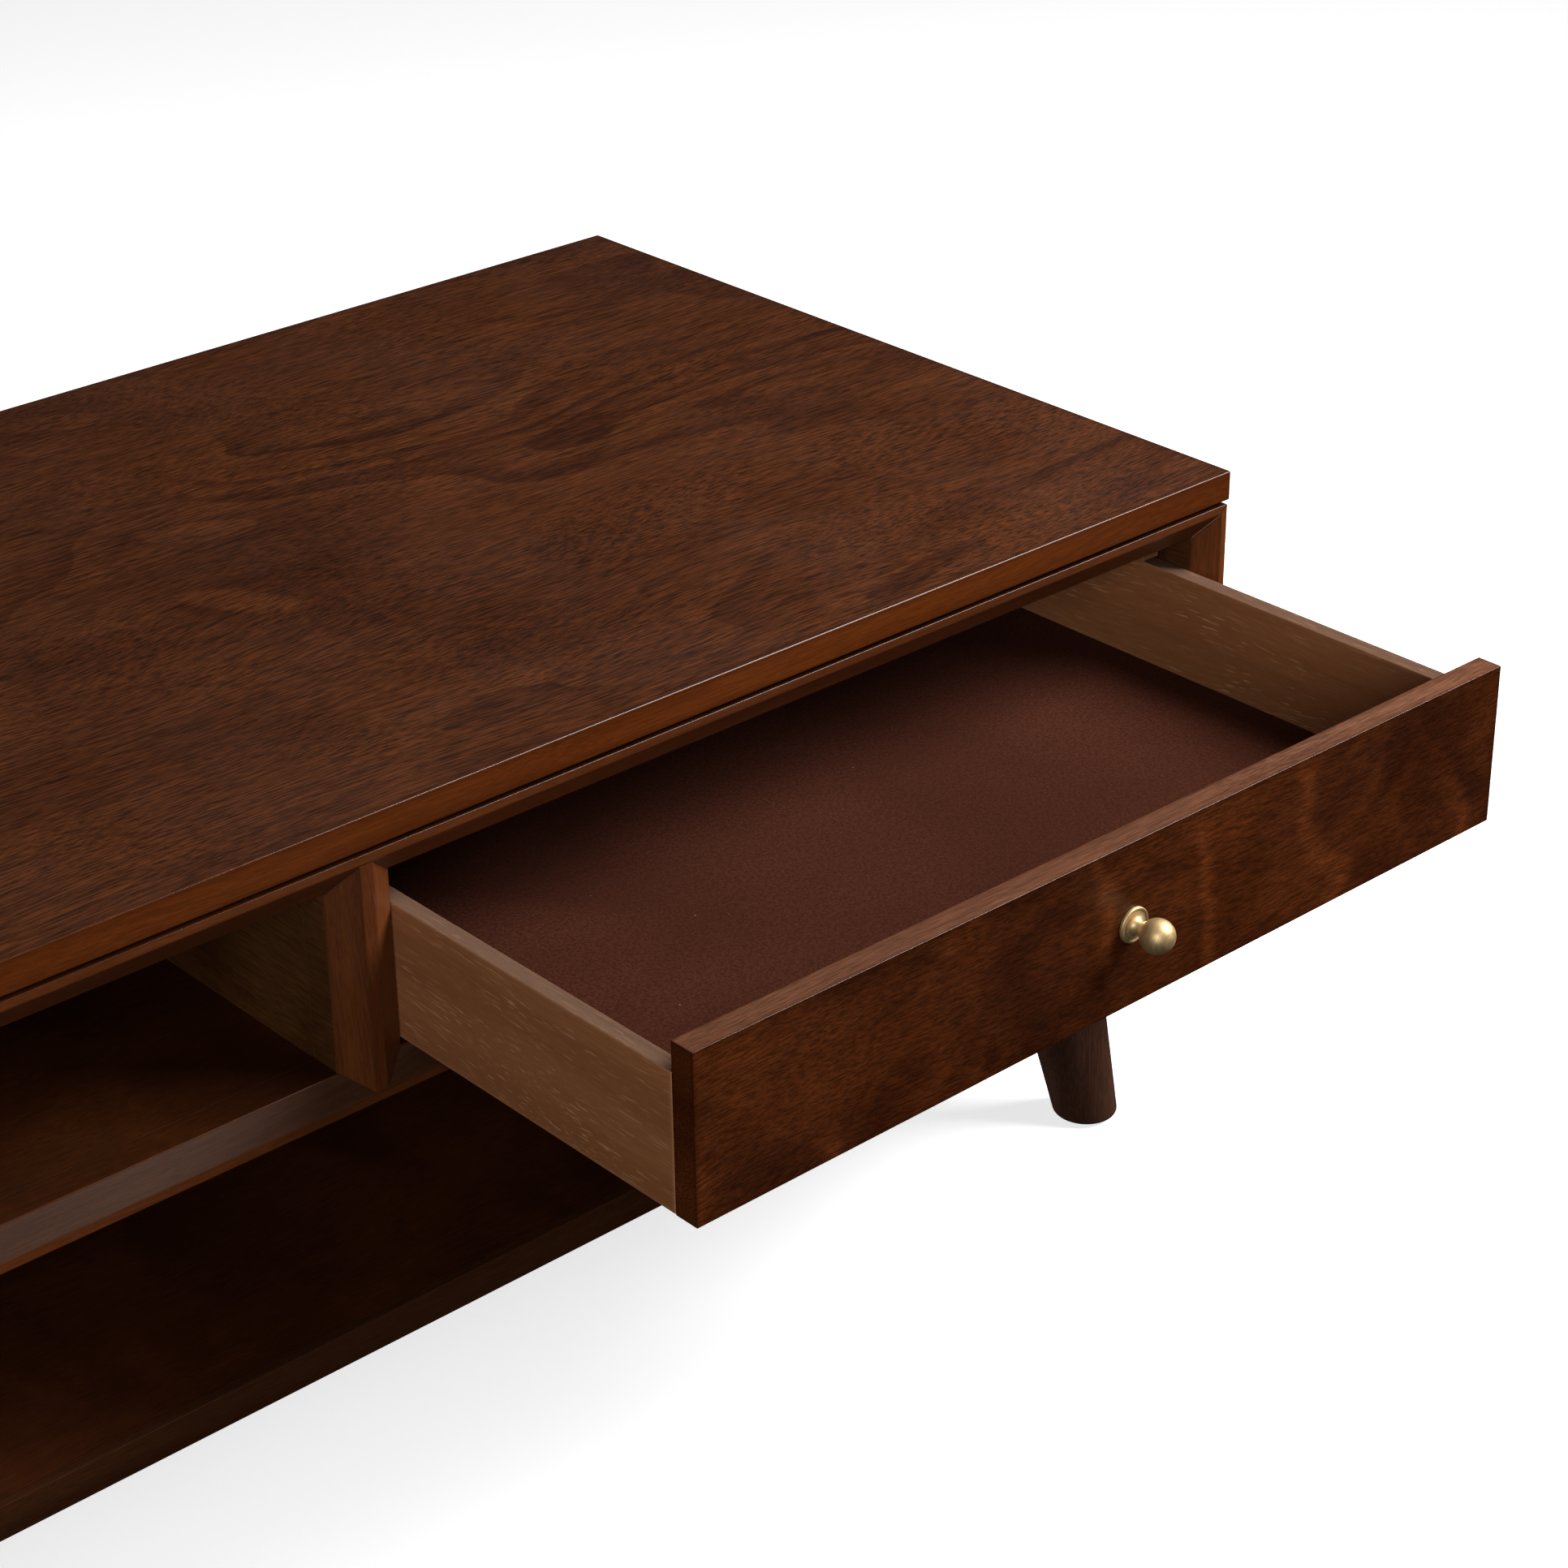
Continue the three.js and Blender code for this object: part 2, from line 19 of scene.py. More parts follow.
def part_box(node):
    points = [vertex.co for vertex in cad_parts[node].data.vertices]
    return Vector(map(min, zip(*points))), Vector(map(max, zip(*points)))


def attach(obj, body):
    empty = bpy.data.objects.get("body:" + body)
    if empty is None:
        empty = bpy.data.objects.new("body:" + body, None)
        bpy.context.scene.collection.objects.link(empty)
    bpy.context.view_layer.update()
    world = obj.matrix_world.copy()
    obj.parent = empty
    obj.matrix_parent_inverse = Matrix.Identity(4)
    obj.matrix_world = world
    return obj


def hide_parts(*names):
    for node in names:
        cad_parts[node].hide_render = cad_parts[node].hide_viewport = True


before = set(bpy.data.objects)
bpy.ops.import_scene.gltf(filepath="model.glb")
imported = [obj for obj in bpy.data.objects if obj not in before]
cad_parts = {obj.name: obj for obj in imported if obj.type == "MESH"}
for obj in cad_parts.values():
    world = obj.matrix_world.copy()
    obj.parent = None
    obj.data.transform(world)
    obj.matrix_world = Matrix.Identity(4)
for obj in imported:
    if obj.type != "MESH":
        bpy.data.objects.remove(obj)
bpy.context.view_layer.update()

Colour = tuple[float, float, float]
Triple = tuple[float, float, float]
Profile = list[tuple[float, float]]

MM = 0.001
LOG = logging.getLogger("media_console")
MIDDLE = (0.3, 0.7)  # nearly all of a smooth noise lies between these levels
FACING = 0.8  # a face looks along an axis if that part of its normal is larger
LEANING = 0.3  # and leans towards it if that part is larger than this


def arc(centre: tuple[float, float], radius: float, start: float, end: float, steps: int) -> Profile:
    """Points round part of a circle, for a turned profile.

    Args:
        centre: the circle's centre, as a radius and a height.
        radius: the circle's radius.
        start: the first point's angle in degrees, from the outward direction towards the top.
        end: the last point's angle.
        steps: how many stretches the arc has.

    Returns:
        The points, both ends among them.
    """
    turns = [math.radians(start + (end - start) * step / steps) for step in range(steps + 1)]
    return [(centre[0] + radius * math.cos(turn), centre[1] + radius * math.sin(turn)) for turn in turns]


class Body(Enum):
    """The two bodies of the model, between which the drawer slides."""

    CASE = "case"
    DRAWER = "drawer"


class Slot(Enum):
    """The record's material slots."""

    VENEER = "walnut_veneer"
    SOLID = "walnut_solid"
    INSIDE = "walnut_inside"
    FIGURED = "walnut_figured"
    DRAWER_WOOD = "drawer_wood"
    BACK_BOARD = "back_board"
    LEG_WOOD = "leg_wood"
    BLACK_STAIN = "black_stain"
    FELT = "felt"
    BRASS = "brass"
    STEEL = "steel"
    PLASTIC = "black_plastic"


class Grain(Enum):
    """The axis that the fibres of a piece of wood run along."""

    ACROSS = 0
    DEPTH = 1
    UPRIGHT = 2

    def stretch(self, along: float, across: float) -> Triple:
        """Pattern scale on each axis.

        Args:
            along: features per metre along the fibres.
            across: features per metre across them.

        Returns:
            The three scales, for a Mapping node.
        """
        scales = [across, across, across]
        scales[self.value] = along
        return tuple(scales)


class Figure(Enum):
    """The large pattern that a cut of wood shows."""

    CATHEDRAL = "arched bands of a flat-sliced veneer"
    CURLED = "wavy bands across the fibres"
    STRAIGHT = "plain bands along the fibres"
    MOTTLED = "blotches where the stain took unevenly"


# ---- shader wiring ------------------------------------------------------------------------------------
class Wiring:
    """Adds and joins the nodes of one material round a Principled shader."""

    # A Mix node has sockets for each kind of value, all under the same names.
    FACTOR, NUMBER_A, NUMBER_B, COLOUR_A, COLOUR_B = 0, 2, 3, 6, 7
    NUMBER_OUT, COLOUR_OUT = 0, 2

    def __init__(self, name: str) -> None:
        """Starts an empty material.

        Args:
            name: the material's name.
        """
        self.material = bpy.data.materials.new(name)
        self.material.use_nodes = True
        self.tree = self.material.node_tree
        self.tree.nodes.clear()
        self.shader = self.add("ShaderNodeBsdfPrincipled")
        output = self.add("ShaderNodeOutputMaterial")
        self.tree.links.new(self.shader.outputs[0], output.inputs[0])
        self.coordinates = self.add("ShaderNodeTexCoord").outputs["Object"]

    def add(self, kind: str, **settings: object) -> bpy.types.Node:
        """Adds a node and sets its own properties.

        Args:
            kind: the node's type name.
            settings: properties of the node.

        Returns:
            The node.
        """
        node = self.tree.nodes.new(kind)
        for key, value in settings.items():
            setattr(node, key, value)
        return node

    def feed(self, socket: bpy.types.NodeSocket, value: object) -> None:
        """Joins a socket to another one, or sets its constant.

        Args:
            socket: the input to feed.
            value: an output socket, a number, or a colour or vector.
        """
        if isinstance(value, bpy.types.NodeSocket):
            self.tree.links.new(value, socket)
        elif socket.type == "RGBA":
            socket.default_value = (*value, 1.0)
        else:
            socket.default_value = value

    def surface(self, **values: object) -> None:
        """Feeds the shader's own sockets, with underscores for spaces in their names."""
        for key, value in values.items():
            self.feed(self.shader.inputs[key.replace("_", " ")], value)

    def place(
        self, stretch: Triple, vector: bpy.types.NodeSocket | None = None, turn: Triple = (0, 0, 0)
    ) -> bpy.types.NodeSocket:
        """Object coordinates, stretched and turned by a Mapping node.

        Args:
            stretch: features per metre on each axis.
            vector: coordinates to use in place of the object's own.
            turn: rotation in radians, for a pattern that doesn't follow the axes.

        Returns:
            The placed coordinates.
        """
        node = self.add("ShaderNodeMapping", vector_type="POINT")
        self.feed(node.inputs["Vector"], vector or self.coordinates)
        node.inputs["Scale"].default_value = stretch
        node.inputs["Rotation"].default_value = turn
        return node.outputs[0]

    def noise(
        self, place: object, detail: float = 2, roughness: float = 0.5, distortion: float = 0,
        coloured: bool = False,
    ) -> bpy.types.NodeSocket:
        """Smooth noise, one feature to each unit of the coordinates.

        Args:
            place: coordinates.
            detail: how many finer layers are added.
            roughness: how strong the finer layers are.
            distortion: how far the noise warps itself.
            coloured: gives three independent values, as a colour, in place of one.

        Returns:
            The noise, from 0 to 1.
        """
        node = self.add("ShaderNodeTexNoise")
        settings = {"Vector": place, "Scale": 1.0, "Detail": detail, "Roughness": roughness}
        for key, value in {**settings, "Distortion": distortion}.items():
            self.feed(node.inputs[key], value)
        return node.outputs["Color" if coloured else 0]

    def cells(self, place: object) -> bpy.types.NodeSocket:
        """Distance to the nearest of many scattered points.

        Args:
            place: coordinates, with one point to each unit.

        Returns:
            The distance, in the coordinates' units.
        """
        node = self.add("ShaderNodeTexVoronoi")
        self.feed(node.inputs["Vector"], place)
        self.feed(node.inputs["Scale"], 1.0)
        return node.outputs["Distance"]

    def maths(self, operation: str, a: object, b: object = 0.0) -> bpy.types.NodeSocket:
        """One sum on two values.

        Args:
            operation: the Math node's operation.
            a: the first value.
            b: the second value.

        Returns:
            The result.
        """
        node = self.add("ShaderNodeMath", operation=operation)
        self.feed(node.inputs[0], a)
        self.feed(node.inputs[1], b)
        return node.outputs[0]

    def window(
        self, value: object, low: float, high: float, bottom: float = 0, top: float = 1
    ) -> bpy.types.NodeSocket:
        """A soft step from one level to another.

        Args:
            value: the value to read.
            low: where the step starts.
            high: where it ends.
            bottom: the level before it.
            top: the level after it.

        Returns:
            The level.
        """
        node = self.add("ShaderNodeMapRange", interpolation_type="SMOOTHSTEP")
        for index, item in enumerate((value, low, high, bottom, top)):
            self.feed(node.inputs[index], item)
        return node.outputs[0]

    def blend(self, factor: object, a: object, b: object) -> bpy.types.NodeSocket:
        """Mixes two colours.

        Args:
            factor: 0 gives the first colour and 1 the second.
            a: the first colour.
            b: the second colour.

        Returns:
            The mixed colour.
        """
        node = self.add("ShaderNodeMix", data_type="RGBA")
        self.feed(node.inputs[self.FACTOR], factor)
        self.feed(node.inputs[self.COLOUR_A], a)
        self.feed(node.inputs[self.COLOUR_B], b)
        return node.outputs[self.COLOUR_OUT]

    def between(self, factor: object, a: object, b: object) -> bpy.types.NodeSocket:
        """Mixes two numbers.

        Args:
            factor: 0 gives the first number and 1 the second.
            a: the first number.
            b: the second number.

        Returns:
            The mixed number.
        """
        node = self.add("ShaderNodeMix", data_type="FLOAT")
        self.feed(node.inputs[self.FACTOR], factor)
        self.feed(node.inputs[self.NUMBER_A], a)
        self.feed(node.inputs[self.NUMBER_B], b)
        return node.outputs[self.NUMBER_OUT]

    def shaded(self, colour: object, factor: object) -> bpy.types.NodeSocket:
        """Makes a colour lighter or darker.

        Args:
            colour: the colour.
            factor: what it is multiplied by.

        Returns:
            The new colour.
        """
        node = self.add("ShaderNodeVectorMath", operation="SCALE")
        self.feed(node.inputs[0], colour)
        self.feed(node.inputs["Scale"], factor)
        return node.outputs[0]

    def warp(self, amount: float, stretch: Triple) -> bpy.types.NodeSocket:
        """Object coordinates pushed about by slow noise, so that lines drawn on them wander.

        Args:
            amount: how far a point may move, in metres.
            stretch: features of the noise per metre on each axis.

        Returns:
            The coordinates.
        """
        slow = self.noise(self.place(stretch), detail=1, coloured=True)
        centred = self.add("ShaderNodeVectorMath", operation="MULTIPLY_ADD")
        self.feed(centred.inputs[0], slow)
        centred.inputs[1].default_value = (2 * amount,) * 3
        centred.inputs[2].default_value = (-amount,) * 3
        moved = self.add("ShaderNodeVectorMath", operation="ADD")
        self.feed(moved.inputs[0], self.coordinates)
        self.feed(moved.inputs[1], centred.outputs[0])
        return moved.outputs[0]

    def arris(self) -> bpy.types.NodeSocket:
        """How near the surface is to an edge of its board: 1 on the arris, 0 past its border."""
        return self.add("ShaderNodeAttribute", attribute_name=Blank.ARRIS).outputs["Fac"]

    def bump(self, height: object, distance: float, strength: object = 1.0) -> None:
        """Relief on the whole surface.

        Args:
            height: the relief's height, from 0 to 1.
            distance: how deep it is, in metres.
            strength: how much of it shows.
        """
        node = self.add("ShaderNodeBump")
        self.feed(node.inputs["Height"], height)
        self.feed(node.inputs["Distance"], distance)
        self.feed(node.inputs["Strength"], strength)
        self.feed(self.shader.inputs["Normal"], node.outputs[0])


# ---- finishes -----------------------------------------------------------------------------------------
@dataclass(frozen=True)
class Timber:
    """Stained wood under a satin lacquer, with its fibres along one axis."""

    name: str
    grain: Grain
    figure: Figure
    body: Colour
    dark: Colour
    glow: Colour
    edge: Colour
    figure_depth: float = 0.6
    streak_depth: float = 0.5
    pore_depth: float = 0.4
    pore_colour: Colour = (0.010, 0.003, 0.001)
    pore_share: float = 0.36
    streaks_along: float = 95
    streaks_across: float = 1500
    wander: float = 0.03
    pores_along: float = 85
    pores_across: float = 1500
    clusters: float = 0.0
    edge_depth: float = 0.6
    roughness: float = 0.42
    worn_roughness: float = 0.17
    gloss: float = 0.3
    relief: float = 0.05 * MM

    WANDER_SCALE = (2.6, 6)  # features per metre along the fibres and across them, as in the pairs below
    STREAK_STEP = (0.39, 0.61)
    LINES_TO_FLECKS = (0.28, 0.7)  # how much sparser the long lines are than the short flecks
    LINE_SHARE = 0.55
    STREAK_RELIEF = 0.5
    BANDS = (3, 60)
    BLOTCHES = (11, 11, 11)
    HILLS, HILL_TURN = (2.1, 4.0), (0, 0, 0.12)
    RING_COUNT, RING_REST = 13.0, 0.7
    LATE_WOOD, RING_LINE = 0.15, 0.93
    RING_PATCHES, CLOUDS, CLOUD_SHARE = (3, 6), (9, 26), 0.3
    CURL_BLOTCHES, CURL_SHARE = (10, 10, 14), 0.6
    RAYS, RAY_TURN, RAY_EDGE = (22, 22, 22), (0, 0.16, 0), 0.76
    SWAY, SWAY_SCALE = 2.4, (5, 5, 11)
    RAY_PATCHES, RAY_STRENGTH = (5, 5, 13), 0.5
    PORE_GROUPS = (14, 70)

    def make(self) -> bpy.types.Material:
        """Builds the material.

        Returns:
            The material, ready for a piece.
        """
        wiring = Wiring(self.name)
        wandering = wiring.warp(self.wander, self.grain.stretch(*self.WANDER_SCALE))
        figured = wiring.blend(self._figure(wiring), self.dark, self.glow)
        colour = wiring.blend(self.figure_depth, self.body, figured)
        streaks = self._streaks(wiring, wandering)
        shade = wiring.window(streaks, *self.STREAK_STEP, 1 - self.streak_depth, 1 + self.streak_depth)
        pores = self._pores(wiring, wandering)
        colour = wiring.blend(pores, wiring.shaded(colour, shade), self.pore_colour)
        wiring.surface(Base_Color=self._edges(wiring, colour), Roughness=self._polish(wiring))
        wiring.surface(Specular_IOR_Level=self.gloss)
        height = wiring.maths("SUBTRACT", wiring.maths("MULTIPLY", streaks, self.STREAK_RELIEF), pores)
        shown = wiring.window(wiring.arris(), low=0.3, high=0.9, bottom=1.0, top=0.0)
        wiring.bump(height, self.relief, shown)
        return wiring.material

    def _polish(self, wiring: Wiring) -> bpy.types.NodeSocket:
        """The roughness: uneven on the faces, and worn smooth along the arrises."""
        dulled = wiring.noise(wiring.place((9, 9, 9)), detail=3, roughness=0.6)
        faces = wiring.window(dulled, *MIDDLE, self.roughness - 0.05, self.roughness + 0.06)
        return wiring.between(wiring.maths("POWER", wiring.arris(), 4.0), faces, self.worn_roughness)

    def _streaks(self, wiring: Wiring, wandering: bpy.types.NodeSocket) -> bpy.types.NodeSocket:
        """Fine streaks along the fibres: short flecks on longer lines."""
        longer, wider = self.LINES_TO_FLECKS
        flecks = self.grain.stretch(self.streaks_along, self.streaks_across)
        lines = self.grain.stretch(self.streaks_along * longer, self.streaks_across * wider)
        short = wiring.noise(wiring.place(flecks, wandering), detail=3, roughness=0.6)
        long = wiring.noise(wiring.place(lines, wandering), detail=2, roughness=0.6)
        return wiring.between(self.LINE_SHARE, short, long)

    def _figure(self, wiring: Wiring) -> bpy.types.NodeSocket:
        """The large pattern, from 0 in its dark bands to 1 in its light ones."""
        if self.figure is Figure.CATHEDRAL:
            return self._cathedral(wiring)
        if self.figure is Figure.CURLED:
            return self._curled(wiring)
        if self.figure is Figure.MOTTLED:
            blotches = wiring.place(self.BLOTCHES)
            return wiring.window(wiring.noise(blotches, detail=4, roughness=0.55, distortion=0.6), *MIDDLE)
        bands = wiring.place(self.grain.stretch(*self.BANDS))
        return wiring.window(wiring.noise(bands, detail=2, roughness=0.5, distortion=0.3), *MIDDLE)

    def _cathedral(self, wiring: Wiring) -> bpy.types.NodeSocket:
        """Growth rings cut flat: closed arches that darken slowly towards a thin late-wood line."""
        places = wiring.place(self.grain.stretch(*self.HILLS), turn=self.HILL_TURN)
        hills = wiring.noise(places, detail=2.2, roughness=0.42, distortion=0.8)
        ring = wiring.maths("FRACT", wiring.maths("MULTIPLY", hills, self.RING_COUNT))
        late = wiring.window(ring, self.LATE_WOOD, self.RING_LINE, bottom=1.0, top=0.0)
        early = wiring.window(ring, self.RING_LINE, 1.0)
        patches = wiring.noise(wiring.place(self.grain.stretch(*self.RING_PATCHES)), detail=2, roughness=0.5)
        presence = wiring.window(patches, low=0.3, high=0.62)
        places = wiring.place(self.grain.stretch(*self.CLOUDS))
        clouds = wiring.window(wiring.noise(places, detail=3, roughness=0.6, distortion=0.6), *MIDDLE)
        rings = wiring.between(presence, self.RING_REST, wiring.maths("MAXIMUM", late, early))
        return wiring.between(self.CLOUD_SHARE, rings, clouds)

    def _curled(self, wiring: Wiring) -> bpy.types.NodeSocket:
        """Blotched veneer with a few thin light rays that wander up it."""
        places = wiring.place(self.CURL_BLOTCHES)
        blotches = wiring.window(wiring.noise(places, detail=3, roughness=0.58, distortion=0.6), *MIDDLE)
        along = wiring.add("ShaderNodeSeparateXYZ")
        wiring.feed(along.inputs[0], wiring.place(self.RAYS, turn=self.RAY_TURN))
        slow = wiring.noise(wiring.place(self.SWAY_SCALE), detail=3, roughness=0.6)
        sway = wiring.maths("MULTIPLY", slow, self.SWAY)
        ray = wiring.maths("PINGPONG", wiring.maths("ADD", along.outputs["X"], sway), 1.0)
        patches = wiring.noise(wiring.place(self.RAY_PATCHES), detail=1, roughness=0.5)
        presence = wiring.window(patches, low=0.38, high=0.62, top=self.RAY_STRENGTH)
        rays = wiring.maths("MULTIPLY", wiring.window(ray, self.RAY_EDGE, 1.0), presence)
        return wiring.maths("ADD", wiring.maths("MULTIPLY", blotches, self.CURL_SHARE), rays)

    def _pores(self, wiring: Wiring, wandering: bpy.types.NodeSocket) -> bpy.types.NodeSocket:
        """Short open pores along the fibres, from 0 between them to the pore depth."""
        scales = self.grain.stretch(self.pores_along, self.pores_across)
        lines = wiring.noise(wiring.place(scales, wandering), detail=1, roughness=0.5)
        groups = wiring.noise(wiring.place(self.grain.stretch(*self.PORE_GROUPS)), detail=2, roughness=0.5)
        fewest = self.pore_depth * (1 - self.clusters)
        level = wiring.window(groups, low=0.4, high=0.62, bottom=fewest, top=self.pore_depth)
        threshold = 1 - self.pore_share
        return wiring.window(lines, threshold - 0.03, threshold + 0.05, top=level)

    def _edges(self, wiring: Wiring, colour: bpy.types.NodeSocket) -> bpy.types.NodeSocket:
        """Changes the tone along the arrises in an uneven line towards each finish's edge colour; on the
        veneer that greyer band is painted sheen along with worn lacquer.
        """
        broken = wiring.noise(wiring.place((60, 60, 60)), detail=3, roughness=0.7)
        near = wiring.maths("POWER", wiring.arris(), 2.5)
        share = wiring.maths("MULTIPLY", near, wiring.window(broken, low=0.25, high=0.65, bottom=0.45))
        return wiring.blend(wiring.maths("MULTIPLY", share, self.edge_depth), colour, self.edge)


@dataclass(frozen=True)
class Felt:
    """Short flocked nap: brushed lighter and darker patches, loose fibres and a few specks of lint."""

    name: str = "felt"
    body: Colour = (0.052, 0.0142, 0.0070)
    brushed: Colour = (0.074, 0.0215, 0.0108)
    shaded: Colour = (0.028, 0.0070, 0.0035)
    lint: Colour = (0.40, 0.28, 0.22)
    sheen: Colour = (0.80, 0.34, 0.26)
    brush_scale: Triple = (5, 7, 5)
    nap_scale: Triple = (520, 520, 520)
    lint_scale: Triple = (46, 46, 46)
    pile: float = 0.35 * MM

    def make(self) -> bpy.types.Material:
        """Builds the material.

        Returns:
            The material, ready for the felt.
        """
        wiring = Wiring(self.name)
        brushing = wiring.noise(wiring.place(self.brush_scale), detail=2, roughness=0.5, distortion=0.6)
        colour = wiring.blend(wiring.window(brushing, *MIDDLE), self.body, self.brushed)
        nap = wiring.noise(wiring.place(self.nap_scale), detail=3, roughness=0.75)
        colour = wiring.blend(wiring.window(nap, low=0.64, high=0.36, top=0.75), colour, self.shaded)
        points = wiring.cells(wiring.place(self.lint_scale))
        colour = wiring.blend(wiring.window(points, low=0.030, high=0.008, top=0.7), colour, self.lint)
        wiring.surface(Base_Color=colour, Roughness=0.95, Specular_IOR_Level=0.04)
        wiring.surface(Sheen_Weight=0.05, Sheen_Roughness=0.5, Sheen_Tint=self.sheen)
        wiring.bump(nap, self.pile, strength=0.6)
        return wiring.material


@dataclass(frozen=True)
class Metal:
    """Turned or rolled metal with fine tool lines and a soft uneven polish."""

    name: str
    body: Colour
    tarnish: Colour
    roughness: float
    line_scale: Triple
    metallic: float = 1.0
    cloud_scale: Triple = (220, 220, 220)
    line_depth: float = 0.01 * MM

    def make(self) -> bpy.types.Material:
        """Builds the material.

        Returns:
            The material, ready for a piece.
        """
        wiring = Wiring(self.name)
        clouds = wiring.noise(wiring.place(self.cloud_scale), detail=3, roughness=0.6)
        colour = wiring.blend(wiring.window(clouds, low=0.35, high=0.75, top=0.5), self.body, self.tarnish)
        lines = wiring.noise(wiring.place(self.line_scale), detail=2, roughness=0.6)
        polish = wiring.window(lines, *MIDDLE, self.roughness - 0.05, self.roughness + 0.07)
        wiring.surface(Base_Color=colour, Roughness=polish, Metallic=self.metallic)
        wiring.bump(lines, self.line_depth)
        return wiring.material


@dataclass(frozen=True)
class Moulded:
    """Moulded plastic or a flat black stain, with a fine grained surface."""

    name: str
    body: Colour
    worn: Colour
    roughness: float
    grit: float = 900
    gloss: float = 0.35
    dust_scale: Triple = (40, 40, 40)
    grit_depth: float = 0.03 * MM

    def make(self) -> bpy.types.Material:
        """Builds the material.

        Returns:
            The material, ready for a piece.
        """
        wiring = Wiring(self.name)
        dust = wiring.noise(wiring.place(self.dust_scale), detail=4, roughness=0.65)
        colour = wiring.blend(wiring.window(dust, low=0.45, high=0.8, top=0.5), self.body, self.worn)
        grain = wiring.noise(wiring.place((self.grit,) * 3), detail=2, roughness=0.6)
        polish = wiring.window(grain, *MIDDLE, self.roughness - 0.08, self.roughness + 0.08)
        wiring.surface(Base_Color=colour, Roughness=polish, Specular_IOR_Level=self.gloss)
        wiring.bump(grain, self.grit_depth, strength=0.6)
        return wiring.material


class Finishes:
    """Every finish on the console, each made once."""

    def __init__(self) -> None:
        """Makes the materials."""
        self.make_case_woods()
        self.make_inside_woods()
        self.make_drawer_woods()
        self.leg = Timber(
            "leg_wood", Grain.UPRIGHT, Figure.STRAIGHT, body=(0.0600, 0.0235, 0.0130),
            dark=(0.0400, 0.0150, 0.0080), glow=(0.0820, 0.0335, 0.0190), edge=(0.0500, 0.0220, 0.0120),
            roughness=0.4, streak_depth=0.3,
        ).make()
        self.black_stain = Moulded(
            "black_stain", (0.006, 0.005, 0.004), (0.015, 0.012, 0.010), roughness=0.7, grit=300
        ).make()
        self.plastic = Moulded(
            "black_plastic", (0.010, 0.0095, 0.009), (0.030, 0.028, 0.026), roughness=0.5
        ).make()
        self.felt = Felt().make()
        self.brass = Metal(
            "satin_brass", (0.74, 0.53, 0.26), (0.58, 0.39, 0.18), roughness=0.50,
            line_scale=(90, 1600, 90), metallic=0.85,
        ).make()
        self.steel = Metal(
            "zinc_steel", (0.55, 0.56, 0.57), (0.38, 0.38, 0.37), roughness=0.35, line_scale=(300, 300, 300)
        ).make()

    def make_case_woods(self) -> None:
        """Makes the veneer, its edges, and the solid wood of the frame."""
        veneer = dict(
            body=(0.064, 0.0165, 0.0043), dark=(0.032, 0.0074, 0.0021), glow=(0.090, 0.0250, 0.0066),
            edge=(0.052, 0.0200, 0.0120), pore_colour=(0.014, 0.0036, 0.0010), figure_depth=0.85,
            # The greyer edge colour is painted sheen along the arrises, together with worn lacquer.
            streak_depth=0.66, gloss=0.45,
        )
        edge = dict(
            figure=Figure.STRAIGHT, body=(0.092, 0.0200, 0.0028), dark=(0.064, 0.0132, 0.0018),
            glow=(0.116, 0.0268, 0.0040), edge=(0.050, 0.0130, 0.0040), pore_colour=(0.060, 0.014, 0.002),
            streak_depth=0.2, pore_depth=0.3, gloss=0.14,
        )
        solid = dict(
            figure=Figure.STRAIGHT, body=(0.090, 0.0225, 0.0046), dark=(0.064, 0.0155, 0.0032),
            glow=(0.116, 0.0305, 0.0064), edge=(0.060, 0.0200, 0.0090), pore_colour=(0.030, 0.008, 0.002),
            streak_depth=0.18, pore_depth=0.25, gloss=0.25,
        )
        lighter = dict(solid, body=(0.104, 0.0270, 0.0054), glow=(0.138, 0.0380, 0.0078))
        # A greyer copy of the solid wood for the mid rail's upward bevel: painted sheen.
        bevel_painted_sheen = dict(
            solid, body=(0.050, 0.0190, 0.0082), dark=(0.036, 0.0134, 0.0058),
            glow=(0.066, 0.0260, 0.0115), gloss=0.12,
        )
        lipping = dict(
            solid, body=(0.044, 0.0145, 0.0052), dark=(0.030, 0.0095, 0.0034),
            glow=(0.060, 0.0205, 0.0076), gloss=0.12,
        )
        self.veneer_top = Timber("veneer_top", Grain.ACROSS, Figure.CATHEDRAL, **veneer).make()
        self.veneer_side = Timber("veneer_side", Grain.UPRIGHT, Figure.CATHEDRAL, **veneer).make()
        self.edge_across = Timber("edge_across", Grain.ACROSS, **edge).make()
        self.edge_depth = Timber("edge_depth", Grain.DEPTH, **edge).make()
        self.solid_across = Timber("solid_across", Grain.ACROSS, **solid).make()
        self.solid_upright = Timber("solid_upright", Grain.UPRIGHT, **lighter).make()
        self.bevel_painted_sheen_across = Timber("bevel_painted_sheen_across", Grain.ACROSS, **bevel_painted_sheen).make()
        self.lipping = Timber("lipping_wood", Grain.ACROSS, **lipping).make()

    def make_inside_woods(self) -> None:
        """Makes the dark stained wood that lines the bays."""
        inside = dict(
            figure=Figure.MOTTLED, body=(0.030, 0.0072, 0.0010), dark=(0.018, 0.0040, 0.0006),
            glow=(0.048, 0.0125, 0.0018), edge=(0.030, 0.0072, 0.0010), edge_depth=0.1,
            streak_depth=0.25, pore_depth=0.25, roughness=0.55, worn_roughness=0.55, gloss=0.1,
        )
        divider = dict(
            inside, body=(0.062, 0.0210, 0.0056), dark=(0.036, 0.0108, 0.0026), glow=(0.100, 0.0400, 0.0120)
        )
        shelf = dict(
            inside, body=(0.044, 0.0108, 0.0026), dark=(0.026, 0.0062, 0.0014), glow=(0.068, 0.0180, 0.0044)
        )
        self.inside_across = Timber("inside_across", Grain.ACROSS, **inside).make()
        self.shelf = Timber("shelf_wood", Grain.ACROSS, **shelf).make()
        self.divider = Timber("divider_wood", Grain.DEPTH, **divider).make()

